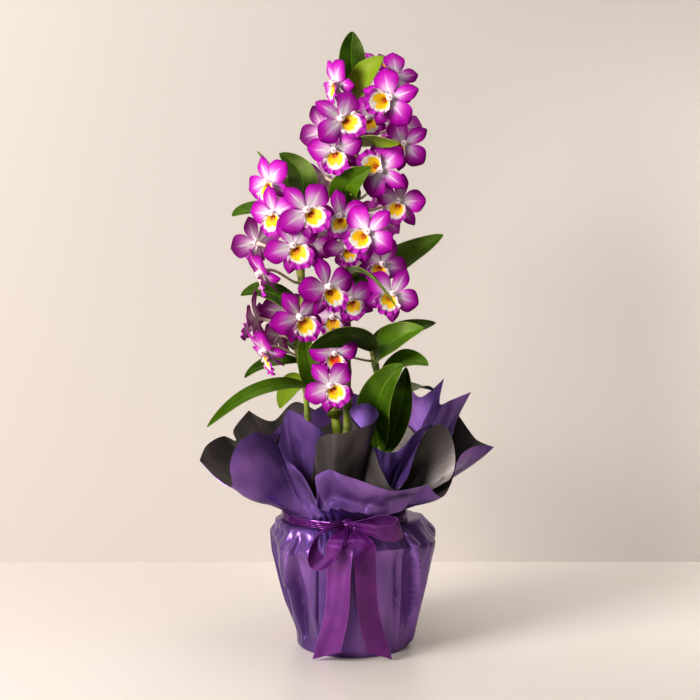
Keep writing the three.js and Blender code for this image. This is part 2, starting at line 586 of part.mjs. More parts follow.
function potGeometry() {
  const lipLow = POT_RIM_Z - POT_LIP_HEIGHT;
  const wallTop = potInner(lipLow) + POT_WALL;
  const floorTop = POT_FOOT_Z + POT_WALL;
  const outline = [
    [DRAIN_HOLE_R, POT_FOOT_Z], [POT_BOTTOM_R, POT_FOOT_Z], [wallTop, lipLow], [POT_RIM_R, lipLow + 1],
    [POT_RIM_R, POT_RIM_Z], [potInner(POT_RIM_Z), POT_RIM_Z], [potInner(floorTop), floorTop],
    [DRAIN_HOLE_R, floorTop], [DRAIN_HOLE_R, POT_FOOT_Z],
  ];
  return turned(outline, 24);
}

function mixSolid() {
  const low = POT_FOOT_Z + POT_WALL + GAP;
  const crown = (share) => MIX_TOP_Z + MIX_CROWN * (1 - share * share);
  const outline = [[0, low], [potInner(low) - GAP, low], [potInner(MIX_TOP_Z) - 2 * GAP, MIX_TOP_Z]];
  for (const share of [0.75, 0.45]) outline.push([potInner(MIX_TOP_Z) * share, crown(share)]);
  outline.push([0, crown(0)]);
  const body = turned(outline, 18);
  const holeTop = MIX_TOP_Z + MIX_CROWN + 2;
  return Object.values(CANES).reduce((mix, cane) => {
    const rings = [[CANE_FOOT_Z, CANE_FOOT_Z - GAP], [holeTop, holeTop]].map(([height, z]) => {
      const { centre } = caneAt(cane, height);
      return ringAt(vec(centre.x, centre.y, z), vec(0, 0, 1), cane.r + HOLE_ROOM, 10);
    });
    return mix.subtract(tubeSolid(rings));
  }, solidOf(body));
}

// ---- wrap ----
// The rim is a closed curve; a neck angle between two listed ones falls on the curve between them.
function rimPoint(rim, angle) {
  const wrapped = rim.map(([a]) => (a < rim[0][0] ? a + 360 : a));
  let turn = angle;
  while (turn < wrapped[0]) turn += 360;
  while (turn >= wrapped[0] + 360) turn -= 360;
  let index = wrapped.length - 1;
  while (wrapped[index] > turn) index -= 1;
  const next = index + 1 < wrapped.length ? wrapped[index + 1] : wrapped[0] + 360;
  const share = (turn - wrapped[index]) / (next - wrapped[index]);
  const curve = new THREE.CatmullRomCurve3(rim.map(([, ...p]) => point(p)), true, 'catmullrom', 0.5);
  return curve.getPoint((index + share) / rim.length);
}

const columnAngles = (rim) => rim.map(([angle]) => angle).sort((a, b) => a - b);

const onNeck = (angle, radius, z) => onCircle(angle, radius, z).add(vec(NECK_X, 0, 0));

// The body widens to the shoulder, less its folds, which are deepest midway up.
const FOLD_SHARE = 0.7;

function bodyRadius(angle, z) {
  const base = FOOT_R + (SHOULDER_R - FOOT_R) * (z / SHOULDER_Z);
  const share = Math.sin(Math.PI * (0.12 + 0.8 * (z / SHOULDER_Z)));
  const fold = BODY_FOLDS.reduce((sum, [at, depth, width]) => {
    const away = ((((angle - at) % 360) + 540) % 360) - 180;
    return sum + depth * Math.exp(-((away / width) ** 2));
  }, 0);
  return base - FOLD_SHARE * fold * share;
}

const FOOT_ROWS = [[FOOT_R - 3, 0], [FOOT_R - 0.6, 0.4]]; // radius and height of the rounded foot
const BODY_ROWS = [2.5, 50, SHOULDER_Z];
const SHOULDER_ROWS = [[0.96, 112], [0.76, 121], [0.4, 127]]; // share of the way out of the neck, height
const COLLAR_ROWS = [0.5, 1];

function collarRows(rim, angles, radius) {
  return COLLAR_ROWS.map((t) => angles.map((angle) => (
    onNeck(angle, radius, NECK_HIGH_Z).lerp(rimPoint(rim, angle), t))));
}

function outerRows() {
  const angles = columnAngles(OUTER_RIM);
  const foot = FOOT_ROWS.map(([radius, z]) => angles.map((a) => onCircle(a, radius, z)));
  const body = BODY_ROWS.map((z) => angles.map((a) => onCircle(a, bodyRadius(a, z), z)));
  const shoulder = SHOULDER_ROWS.map(([share, z]) => angles.map((a) => (
    onNeck(a, NECK_R, z).lerp(onCircle(a, SHOULDER_R, z), share))));
  const neck = [NECK_LOW_Z, NECK_HIGH_Z].map((z) => angles.map((a) => onNeck(a, NECK_R, z)));
  return [...foot, ...body, ...shoulder, ...neck, ...collarRows(OUTER_RIM, angles, NECK_R)];
}

function tuckedRows(rim, radius) {
  const angles = columnAngles(rim);
  const neck = [TUCK_LOW_Z, NECK_HIGH_Z].map((z) => angles.map((a) => onNeck(a, radius, z)));
  return [...neck, ...collarRows(rim, angles, radius)];
}

// A sheet through rows of points that close round the neck: its outer face, and an inner face set in
// by the film's thickness. With a floor point it is closed below, otherwise it is an open sleeve.
function sheetSolid(rows, floor) {
  const columns = rows[0].length;
  const at = (row, column) => rows[row][(column + columns) % columns];
  const inwards = (row, column) => {
    const around = at(row, column + 1).clone().sub(at(row, column - 1));
    const above = at(Math.min(row + 1, rows.length - 1), column);
    const below = row ? at(row - 1, column) : floor ?? at(row, column);
    const up = above.clone().sub(below);
    return around.cross(up).normalize().multiplyScalar(-FILM);
  };
  const outer = rows.flat();
  const inner = rows.flatMap((row, r) => row.map((p, c) => p.clone().add(inwards(r, c))));
  const points = [...outer, ...inner];
  const faces = [];
  const index = (row, column, face) => face * outer.length + row * columns + (column % columns);
  const quad = (a, b, c, d) => faces.push([a, b, c], [a, c, d]);
  const top = rows.length - 1;
  for (let c = 0; c < columns; c += 1) {
    for (let r = 0; r < top; r += 1) {
      quad(index(r, c, 0), index(r, c + 1, 0), index(r + 1, c + 1, 0), index(r + 1, c, 0));
      faces.push([index(r, c, 1), index(r + 1, c + 1, 1), index(r, c + 1, 1)]);
      faces.push([index(r, c, 1), index(r + 1, c, 1), index(r + 1, c + 1, 1)]);
    }
    quad(index(top, c, 0), index(top, c + 1, 0), index(top, c + 1, 1), index(top, c, 1));
    if (floor) {
      faces.push([points.length, index(0, c + 1, 0), index(0, c, 0)]);
      faces.push([points.length + 1, index(0, c, 1), index(0, c + 1, 1)]);
    } else {
      quad(index(0, c, 1), index(0, c + 1, 1), index(0, c + 1, 0), index(0, c, 0));
    }
  }
  if (floor) points.push(floor, floor.clone().add(vec(0, 0, FILM)));
  return solidOf(meshOf(points, faces));
}

// ---- ribbon ----
// Half the ribbon's thickness, square to its path and to its width.
function acrossFace(centres, i, half) {
  const ahead = centres[Math.min(i + 1, centres.length - 1)];
  const behind = centres[Math.max(i - 1, 0)];
  return ahead.clone().sub(behind).cross(half).normalize().multiplyScalar(RIBBON / 2);
}

// A loop of ribbon, gathered to a narrow strip at the knot.
const GATHERED = 0.4;

function loopSolid({ path, across, width }) {
  const centres = path.map(point);
  const rings = centres.map((centre, i) => {
    const spread = GATHERED + (1 - GATHERED) * Math.sin((Math.PI * i) / (centres.length - 1));
    const half = point(across).normalize().multiplyScalar((spread * width) / 2);
    const face = acrossFace(centres, i, half);
    return [
      centre.clone().sub(half).sub(face), centre.clone().add(half).sub(face),
      centre.clone().add(half).add(face), centre.clone().sub(half).add(face),
    ];
  });
  return tubeSolid(rings);
}

function tailSolid({ path, width, longCorner }) {
  const centres = path.map(point);
  const rings = centres.map((centre, i) => {
    const face = acrossFace(centres, i, vec(1, 0, 0));
    const [low, high] = [-1, 1].map((side) => {
      const corner = centre.clone().add(vec((side * width) / 2, 0, 0));
      if (i < centres.length - 1) return corner;
      const [out, back, down] = side === longCorner ? CUT_LONG : CUT_SHORT;
      return corner.add(vec(side * out, back, down));
    });
    return [low.clone().sub(face), high.clone().sub(face), high.clone().add(face), low.clone().add(face)];
  });
  return tubeSolid(rings);
}

function ribbonSolid() {
  const angles = columnAngles(OUTER_RIM);
  const ring = (radius, z) => angles.map((a) => onNeck(a, radius, z));
  const [inner, outer] = [NECK_R + GAP, NECK_R + GAP + RIBBON];
  const outline = [[inner, BAND_LOW_Z], [outer, BAND_LOW_Z], [outer, BAND_HIGH_Z], [inner, BAND_HIGH_Z]];
  const rows = outline.map(([radius, z]) => ring(radius, z));
  const columns = angles.length;
  const faces = [];
  rows.forEach((_, r) => {
    for (let c = 0; c < columns; c += 1) {
      const [a, b] = [r * columns + c, r * columns + ((c + 1) % columns)];
      const [d, e] = [((r + 1) % 4) * columns + c, ((r + 1) % 4) * columns + ((c + 1) % columns)];
      faces.push([a, b, e], [a, e, d]);
    }
  });
  const band = solidOf(meshOf(rows.flat(), faces));
  const knot = solidOf(new THREE.IcosahedronGeometry(1).scale(...KNOT_HALF).translate(...KNOT));
  return joined([
    band, knot, ...LOOPS.map(loopSolid), ...TAILS.map(tailSolid),
  ]);
}

// ---- finishes ----
const finish = (color, roughness) => new THREE.MeshStandardMaterial({ color, roughness, metalness: 0 });
const CANE_GREEN = finish(0x6f7a24, 0.5);
const PETAL_MAGENTA = finish(0xb42d9c, 0.6);
const POT_BROWN = finish(0x3a2a22, 0.6);
const MIX_BROWN = finish(0x4a3524, 0.95);
const FILM_PURPLE = finish(0x5d3a8c, 0.4);
const FILM_CHARCOAL = finish(0x33302f, 0.4);
const SATIN_PURPLE = finish(0x6a1f74, 0.35);

// ---- the whole plant ----
const group = new THREE.Group();

function place(name, geometry, material) {
  const mesh = new THREE.Mesh(geometry, material);
  mesh.name = name;
  group.add(mesh);
}

place('pot', geometryOf(solidOf(potGeometry())), POT_BROWN);
place('potting_mix', geometryOf(mixSolid()), MIX_BROWN);
place('wrap_outer', geometryOf(sheetSolid(outerRows(), vec(0, 0, 0))), FILM_PURPLE);
const middleRadius = NECK_R - FILM - TUCK_GAP;
const innerRadius = middleRadius - FILM - TUCK_GAP;
place('wrap_middle', geometryOf(sheetSolid(tuckedRows(MIDDLE_RIM, middleRadius))), FILM_CHARCOAL);
place('wrap_inner', geometryOf(sheetSolid(tuckedRows(INNER_RIM, innerRadius))), FILM_PURPLE);
place('ribbon', geometryOf(ribbonSolid()), SATIN_PURPLE);
for (const name of Object.keys(CANES)) place(`cane_${name}`, geometryOf(leafyCane(name)), CANE_GREEN);
for (const { ids, solid } of fusedBlooms()) {
  const label = ids.sort((a, b) => a - b).map((id) => String(id).padStart(2, '0')).join('_');
  place(`bloom_${label}`, geometryOf(solid), PETAL_MAGENTA);
}

export default group;
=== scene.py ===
import math
import random

import bpy
import numpy as np
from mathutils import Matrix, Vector


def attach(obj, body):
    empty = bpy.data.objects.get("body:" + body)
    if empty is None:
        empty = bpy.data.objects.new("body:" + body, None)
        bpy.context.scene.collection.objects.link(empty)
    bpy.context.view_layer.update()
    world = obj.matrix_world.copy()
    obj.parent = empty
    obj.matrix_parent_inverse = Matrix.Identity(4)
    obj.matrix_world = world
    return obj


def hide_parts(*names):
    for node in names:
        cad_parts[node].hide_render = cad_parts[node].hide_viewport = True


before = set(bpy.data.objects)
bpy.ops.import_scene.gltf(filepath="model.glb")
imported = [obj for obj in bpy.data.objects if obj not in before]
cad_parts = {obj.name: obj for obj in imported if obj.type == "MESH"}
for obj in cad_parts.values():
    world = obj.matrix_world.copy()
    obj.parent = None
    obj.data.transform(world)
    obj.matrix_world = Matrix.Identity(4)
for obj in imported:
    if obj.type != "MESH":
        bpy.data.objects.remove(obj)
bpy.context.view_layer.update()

# A potted dendrobium orchid in gift wrap. All places are in millimetres, as in the solids, until a mesh is
# made of them. +Z is up and -Y is the front. The tables and the formulas of the main shapes are those of the
# solids, and each piece here adds the finer form.
MM = 0.001

# ---- driving dimensions ----
FOOT_R = 57
SHOULDER_R = 85.5
SHOULDER_Z = 103
NECK_X = -9
NECK_R = 61
NECK_LOW_Z = 130
NECK_HIGH_Z = 139
TUCK_LOW_Z = 122
FILM = 0.8
TUCK_GAP = 0.9
RIBBON = 0.6

CANES = {
    "tall": (((-2, 12, 60), (-6, 10, 219), (-6, 6, 351), (1, 2, 488), (2, 2, 556)), 4.6),
    "left": (
        ((-10, -12, 60), (-17, -14, 227), (-40, -13, 272), (-51, -10, 366), (-62, -6, 445), (-71, -2, 478)),
        4.7,
    ),
    "short": (((-36, 14, 60), (-48, 18, 245), (-56, 20, 290), (-62, 24, 332)), 3.4),
    "right": (((24, -10, 60), (27, -16, 211), (26, -12, 262), (15, -8, 318)), 4.2),
}
INTERNODE = 32

# Leaves: cane, height of the node, bend and tip of the midrib, width, the way the face looks, and the tone
# from 0, dark, to 1, pale olive. A tone below 0 is that of a leaf which turns its underside to the front.
LEAVES = (
    ("tall", 550, (-4, 8, 590), (-1, 15, 617), 28, (0.2, -1, 0.2), 0.1),
    ("tall", 545, (2, -22, 565), (29, -25, 589), 31, (0.5, 0.85, -0.3), -0.95),
    ("tall", 505, (10, -60, 514), (43, -78, 503), 24, (0.1, 0.6, 0.8), -0.9),
    ("tall", 446, (-24, -40, 456), (17, -54, 482), 32, (0.2, -0.95, 0.35), 0.5),
    ("left", 440, (-34, 18, 474), (-75, 24, 497), 30, (-0.1, -0.95, 0.3), 0.25),
    ("left", 466, (-82, 4, 480), (-96, 12, 499), 13, (0.9, -0.2, 0.3), 0.3),
    ("left", 418, (-96, 28, 452), (-122, 12, 434), 25, (0.1, -0.6, 0.8), 0.2),
    ("tall", 366, (40, 10, 382), (89, -12, 416), 36, (-0.35, -0.8, 0.6), 0.4),
    ("tall", 370, (4, -92, 402), (40, -104, 351), 13, (0.5, 0.1, 0.85), 0.45),
    ("left", 330, (-84, 16, 372), (-114, 14, 354), 24, (0, -0.7, 0.75), 0.1),
    ("right", 300, (5, -78, 339), (-42, -92, 311), 29, (0.1, 0.85, 0.45), -0.3),
    ("right", 288, (26, -48, 316), (68, -56, 327), 34, (-0.2, -0.78, 0.6), 0.4),
    ("right", 308, (46, 14, 320), (84, 20, 326), 22, (0, -0.7, 0.7), 0.1),
    ("right", 262, (44, -40, 306), (73, -48, 290), 27, (0, -0.7, 0.75), 0.55),
    ("right", 200, (10, -50, 262), (48, -58, 292), 38, (-0.35, -0.85, 0.35), 0.42),
    ("right", 196, (50, -26, 232), (52, -24, 286), 27, (-0.35, -0.95, 0.1), 0.25),
    ("left", 262, (-90, -56, 286), (-141, -74, 233), 18, (0.25, -0.45, 0.8), 0.55),
    ("left", 258, (-42, -44, 284), (-49, -40, 320), 25, (-0.2, -0.95, 0.1), 0.45),
    ("short", 286, (-88, 24, 292), (-111, 16, 270), 18, (-0.2, -0.6, 0.8), 0.2),
    ("short", 262, (-66, 34, 268), (-76, 36, 236), 26, (-0.5, -0.8, 0.3), 0.8),
    ("left", 232, (-22, -36, 238), (-12, -52, 247), 15, (0, -0.5, -0.85), -0.7),
    ("tall", 470, (28, 46, 498), (46, 80, 484), 28, (0.1, 0.4, 0.9), 0.4),
    ("tall", 330, (-14, 62, 352), (-30, 98, 326), 30, (-0.1, 0.5, 0.85), 0.4),
    ("short", 296, (-70, 58, 320), (-92, 88, 306), 26, (-0.2, 0.4, 0.9), 0.4),
    ("right", 240, (52, 30, 268), (84, 58, 252), 28, (0.3, 0.2, 0.9), 0.4),
)
# Blooms: middle, turn to the right, nod upwards, direction of the dorsal sepal, size and cane.
BLOOMS = (
    ((-16, -14, 564), -60, -8, 128, 0.96, "tall"),
    ((35, -42, 547), -12, 2, 22, 1.04, "tall"),
    ((-13, -49, 527), 22, 5, 145, 1.02, "tall"),
    ((-18, -44, 499), -8, -18, 99, 0.96, "tall"),
    ((27, -38, 480), -20, -4, -36, 1.0, "tall"),
    ((50, -6, 505), -12, 0, 36, 0.94, "tall"),
    ((46, -12, 449), -24, -6, 80, 0.96, "tall"),
    ((41, 8, 570), 16, 12, 16, 0.94, "tall"),
    ((24, 30, 584), 30, 36, 110, 0.76, "tall"),
    ((14, -20, 530), 4, -14, 110, 0.76, "tall"),
    ((-82, -22, 467), -42, -2, 118, 1.0, "left"),
    ((-77, -46, 438), -24, -10, 100, 0.92, "left"),
    ((-95, -12, 408), -150, 2, 66, 1.0, "left"),
    ((-45, -66, 440), 14, 2, 134, 1.04, "left"),
    ((-12, -44, 434), -14, 4, 98, 0.94, "tall"),
    ((14, -62, 419), -14, 4, 46, 1.02, "tall"),
    ((-58, -64, 407), 12, -4, 120, 1.0, "left"),
    ((-8, -38, 406), 22, -20, 112, 0.78, "tall"),
    ((27, -24, 388), 10, -8, 62, 0.94, "tall"),
    ((-26, -68, 367), 30, 2, 104, 1.04, "left"),
    ((37, -40, 359), 8, 2, 57, 0.98, "tall"),
    ((-53, -60, 339), 24, -16, 124, 1.02, "left"),
    ((-2, -38, 354), 0, -4, 108, 0.86, "tall"),
    ((-89, -24, 380), -70, -34, 118, 0.96, "left"),
    ((-97, -8, 333), -106, -4, 92, 0.96, "left"),
    ((-86, -30, 304), -56, -40, 128, 1.0, "left"),
    ((-19, -48, 302), 8, -8, 92, 0.84, "right"),
    ((-23, -66, 272), 12, 4, 124, 0.94, "left"),
    ((-76, 2, 315), -120, -10, 95, 0.84, "short"),
    ((-28, 24, 474), 176, 6, 84, 1.0, "tall"),
    ((-43, -26, 404), -10, 4, 80, 0.9, "left"),
    ((-64, 26, 450), -158, 10, 96, 0.94, "left"),
    ((26, 12, 462), 110, 4, 90, 0.94, "tall"),
    ((-20, -22, 336), -10, -14, 96, 0.86, "tall"),
    ((44, 16, 522), 150, 2, 100, 0.94, "tall"),
    ((-28, 34, 520), 196, 4, 62, 1.0, "tall"),
    ((30, 40, 436), 160, -6, 84, 1.0, "tall"),
    ((-40, 34, 416), 192, 4, 94, 1.04, "left"),
    ((8, 46, 384), 176, -8, 104, 1.0, "tall"),
    ((-70, 24, 338), 214, -6, 84, 0.98, "left"),
)

# Where a stalk leaves its cane, for the blooms whose stalk doesn't start just below them.
STALK_HEIGHTS = {3: 520, 28: 250}

# Rims of the three sheets: angle at the neck, and the place.
OUTER_RIM = (
    (-30, -64, -62, 200), (-26, -46, -70, 180), (-22, -36, -76, 161), (-18, -37, -83, 178),
    (-14, -37, -87, 188), (-8, -23, -94, 196), (-2, -8, -99, 191), (8, 25, -102, 179),
    (17, 44, -98, 176), (29, 71, -84, 179), (38, 84, -74, 165), (47, 94, -61, 174),
    (58, 104, -48, 200), (69, 120, -34, 208), (80, 140, -20, 205), (90, 126, 2, 208),
    (100, 118, 24, 216), (112, 106, 56, 232), (125, 88, 76, 222), (140, 66, 98, 238),
    (155, 38, 104, 222), (170, 8, 112, 238), (186, -26, 102, 220), (202, -62, 102, 234),
    (216, -86, 82, 216), (230, -110, 64, 230), (244, -124, 38, 214), (256, -120, 14, 206),
    (266, -132, -2, 213), (275, -147, -16, 206), (283, -152, -36, 194), (291, -134, -52, 179),
    (299, -118, -64, 173), (306, -119, -76, 196), (312, -112, -80, 216), (318, -96, -74, 228),
    (324, -79, -62, 220),
)
MIDDLE_RIM = (
    (-24, -37, -60, 204), (-17, -35, -65, 218), (-11, -22, -76, 229), (-3, -6, -80, 232),
    (5, 17, -73, 236), (9, 24, -61, 245), (12, 12, -48, 253), (15, -4, -43, 242),
    (18, 18, -63, 213), (21, 26, -71, 193), (25, 38, -76, 173), (28, 51, -76, 183),
    (31, 60, -72, 209), (34, 70, -70, 229), (37, 86, -66, 234), (40, 96, -66, 218),
    (42, 98, -69, 196), (44, 92, -71, 181), (48, 86, -62, 188), (58, 90, -46, 208),
    (72, 98, -22, 216), (87, 104, 6, 226), (99, 112, 26, 238), (108, 122, 44, 252),
    (116, 104, 57, 243), (121, 91, 66, 237), (127, 96, 74, 263), (138, 72, 74, 243), (150, 56, 82, 252),
    (164, 28, 82, 234), (180, -8, 88, 246), (196, -42, 80, 228), (212, -66, 70, 224),
    (226, -84, 54, 208), (242, -93, 34, 202), (258, -88, 8, 186), (274, -82, -14, 178),
    (290, -74, -32, 172), (306, -62, -46, 170), (320, -48, -54, 172), (330, -41, -58, 182),
)
INNER_RIM = (
    (-50, -68, -44, 238), (-44, -62, -47, 246), (-34, -48, -49, 238), (-22, -30, -51, 225),
    (-10, -15, -44, 213), (4, 2, -41, 205), (16, 20, -40, 208), (26, 32, -41, 203),
    (36, 46, -42, 206), (46, 60, -42, 222), (58, 74, -38, 230), (68, 82, -28, 226),
    (82, 80, -6, 210), (96, 82, 12, 206), (110, 76, 32, 218), (126, 64, 48, 208),
    (144, 42, 62, 222), (164, 14, 66, 208), (184, -18, 68, 220), (204, -50, 58, 206),
    (224, -70, 44, 216), (244, -80, 22, 204), (264, -80, 0, 200), (284, -76, -20, 204),
    (300, -72, -34, 220),
)
BODY_FOLDS = (
    (-42, 7, 8), (45, 9, 8), (8, 2, 9), (106, 5, 7),
    (140, 6, 8), (186, 5, 8), (230, 6, 8), (260, 5, 7),
)

# ---- ribbon: centre lines of its strips, the way the width runs, and the width ----
LOOPS = (
    (
        (
            (-7, -71, 137), (-19, -79, 139), (-31, -87, 135), (-38, -94, 125), (-39, -98, 114),
            (-34, -100, 107), (-25, -101, 106), (-16, -100, 112), (-10, -95, 122), (-6, -77, 134),
        ),
        (0.5, 0.65, 0.55), 19,
    ),
    (
        (
            (-2, -71, 137), (13, -81, 140), (27, -86, 143), (38, -90, 142), (45, -93, 139),
            (38, -98, 135), (26, -99, 135), (13, -93, 137), (1, -77, 136),
        ),
        (-0.25, -0.4, 0.9), 21,
    ),
)
# Tails: centre line, width, and the side of the long corner of the slanting cut.
TAILS = (
    (((-9, -71, 134), (-13, -90.5, 124), (-14, -92, 104), (-16, -84, 55), (-24, -71, 7)), 26, -1),
    (((-1, -71, 134), (8, -90.5, 124), (11, -93, 104), (14, -85, 55), (23, -71, 7)), 23, 1),
)
CUT_LONG = np.array((5, 0.8, -5.5))
CUT_SHORT = np.array((0, 0.8, 5))
BAND_LOW_Z, BAND_HIGH_Z = 131, 137.5
BAND_MIDDLE, BAND_HALF = 134.25, 3.25
KNOT = np.array((-5, -68, 136))
KNOT_HALF = np.array((9, 5, 6.5))


# ---- curves and surfaces ----
TINY = 1e-9
WHOLE_WAVE = 6.28
PLACE = "place"


def unit(vectors):
    return vectors / np.maximum(np.linalg.norm(vectors, axis=-1, keepdims=True), TINY)


def smooth_step(low, high, value):
    share = np.clip((value - low) / (high - low), 0, 1)
    return share * share * (3 - 2 * share)


def hump(value, centre, width):
    """1 at the centre, falling to 0 on both sides."""
    return np.exp(-(((value - centre) / width) ** 2))


def window(value, low, full, late, gone):
    """0 below low, 1 from full to late, 0 above gone, smooth between."""
    return smooth_step(low, full, value) * (1 - smooth_step(late, gone, value))


def facing(turn, tilt):
    """The direction that is turned to the right from the front and tilted up, by angles in radians."""
    flat = math.cos(tilt)
    return np.array((math.sin(turn) * flat, -math.cos(turn) * flat, math.sin(tilt)))


def stacked(*parts):
    """Points or places from their parts, each spread over the rows and columns of the others."""
    return np.stack(np.broadcast_arrays(*parts), axis=-1)


def eased(t, start, end, slope, last_slope):
    """A smooth curve from start to end that leaves and arrives with the given slopes."""
    return (
        (2 * t**3 - 3 * t**2 + 1) * start + (t**3 - 2 * t**2 + t) * slope
        + (3 * t**2 - 2 * t**3) * end + (t**3 - t**2) * last_slope
    )


def curve_at(points, t):
    """Points of the smooth curve through a list of points; t runs from 0 to 1 along it."""
    points = np.asarray(points, float)
    spans = len(points) - 1
    place = np.clip(np.asarray(t, float), 0, 1) * spans
    first = np.minimum(place.astype(int), spans - 1)
    longer = np.vstack([2 * points[0] - points[1], points, 2 * points[-1] - points[-2]])
    before, start, end, after = (longer[first + k] for k in range(4))
    return eased((place - first)[..., None], start, end, (end - before) / 2, (after - start) / 2)


def rings_along(path, radii, sides, across=(1, 0, 0)):
    """Rings round the points of a path, counterclockwise as seen from its far end."""
    direction = unit(np.gradient(path, axis=0))
    v = unit(np.cross(direction, np.broadcast_to(across, path.shape)))
    u = unit(np.cross(v, direction))
    angle = np.linspace(0, 2 * math.pi, sides, endpoint=False)[None, :, None]
    radii = np.broadcast_to(radii, len(path))[:, None, None]
    return path[:, None] + radii * (u[:, None] * np.cos(angle) + v[:, None] * np.sin(angle))


def quads(*corners):
    return np.stack([c.ravel() for c in corners], axis=1).tolist()


class Shape:
    """A mesh in the making: points, their places on the skin, faces and the numbers of their finishes."""

    def __init__(self):
        self.points, self.places, self.faces, self.finishes = [], [], [], []
        self.count = 0

    def add(self, points, places, faces, finishes):
        self.points.append(np.asarray(points, float).reshape(-1, 3))
        self.places.append(np.asarray(places, float).reshape(-1, 3))
        self.faces += [[corner + self.count for corner in face] for face in faces]
        self.finishes += finishes
        self.count += len(self.points[-1])

    def shell(self, grid, thickness, places, front=0, back=1, ring=False):
        """A thin closed skin round a grid of points, front to the side of across x along."""
        rows, columns = grid.shape[:2]
        along = np.gradient(grid, axis=0)
        across = np.roll(grid, -1, 1) - np.roll(grid, 1, 1) if ring else np.gradient(grid, axis=1)
        half = unit(np.cross(across, along)) * np.broadcast_to(thickness, (rows, columns))[..., None] / 2
        size = rows * columns
        index = np.arange(size).reshape(rows, columns)
        left, right = (index, np.roll(index, -1, 1)) if ring else (index[:, :-1], index[:, 1:])
        fronts = quads(left[:-1], right[:-1], right[1:], left[1:])
        backs = quads(left[:-1] + size, left[1:] + size, right[1:] + size, right[:-1] + size)
        rims = quads(left[0] + size, right[0] + size, right[0], left[0])
        rims += quads(left[-1], right[-1], right[-1] + size, left[-1] + size)
        if not ring:
            one, two = index[:, 0], index[:, -1]
            rims += quads(one[:-1], one[1:], one[1:] + size, one[:-1] + size)
            rims += quads(two[:-1] + size, two[1:] + size, two[1:], two[:-1])
        points = np.concatenate([(grid + half).reshape(-1, 3), (grid - half).reshape(-1, 3)])
        spots = np.broadcast_to(places, (rows, columns, 3)).reshape(-1, 3)
        finishes = [front] * len(fronts) + [back] * len(backs) + [front] * len(rims)
        self.add(points, np.concatenate([spots, spots]), fronts + backs + rims, finishes)

    def tube(self, rings, places, finish=0):
        """A tube through rings of points, closed at both ends."""
        rows, columns = rings.shape[:2]
        index = np.arange(rows * columns).reshape(rows, columns)
        after = np.roll(index, -1, 1)
        faces = quads(index[:-1], after[:-1], after[1:], index[1:])
        faces += [index[0, ::-1].tolist(), index[-1].tolist()]
        self.add(rings, np.broadcast_to(places, (rows, columns, 3)), faces, [finish] * len(faces))


def linked(name, data):
    """A new object in the scene."""
    made = bpy.data.objects.new(name, data)
    bpy.context.scene.collection.objects.link(made)
    return made


def finished(name, shape, finishes, node, sharp=50):
    """A piece of the plant: it stands with the pot, takes its finish from a slot and stands for its node."""
    mesh = bpy.data.meshes.new(name)
    mesh.from_pydata((np.concatenate(shape.points) * MM).tolist(), [], shape.faces)
    for finish in finishes:
        mesh.materials.append(finish)
    mesh.polygons.foreach_set("material_index", shape.finishes)
    places = mesh.attributes.new(PLACE, "FLOAT_VECTOR", "POINT")
    places.data.foreach_set("vector", np.concatenate(shape.places).ravel())
    mesh.shade_smooth()
    mesh.set_sharp_from_angle(angle=math.radians(sharp))
    mesh.update()
    piece = linked(name, mesh)
    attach(piece, "root")
    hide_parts(node)
    return piece


# ---- finishes ----
def paint(code):
    """The linear colour of a six-digit web colour; anything else passes through."""
    if not isinstance(code, int):
        return code
    parts = [((code >> shift) & 255) / 255 for shift in (16, 8, 0)]
    return tuple(p / 12.92 if p <= 0.04045 else ((p + 0.055) / 1.055) ** 2.4 for p in parts) + (1.0,)


class Value:
    """What a node puts out. Reckoning with it adds the nodes that do the same."""

    def __init__(self, wiring, socket):
        self.wiring, self.socket = wiring, socket

    def __add__(self, other):
        return self.wiring.calc("ADD", self, other)

    def __sub__(self, other):
        return self.wiring.calc("SUBTRACT", self, other)

    def __rsub__(self, other):
        return self.wiring.calc("SUBTRACT", other, self)

    def __mul__(self, other):
        return self.wiring.calc("MULTIPLY", self, other)

    def __truediv__(self, other):
        return self.wiring.calc("DIVIDE", self, other)

    def __pow__(self, other):
        return self.wiring.calc("POWER", self, other)

    def __abs__(self):
        return self.wiring.calc("ABSOLUTE", self)


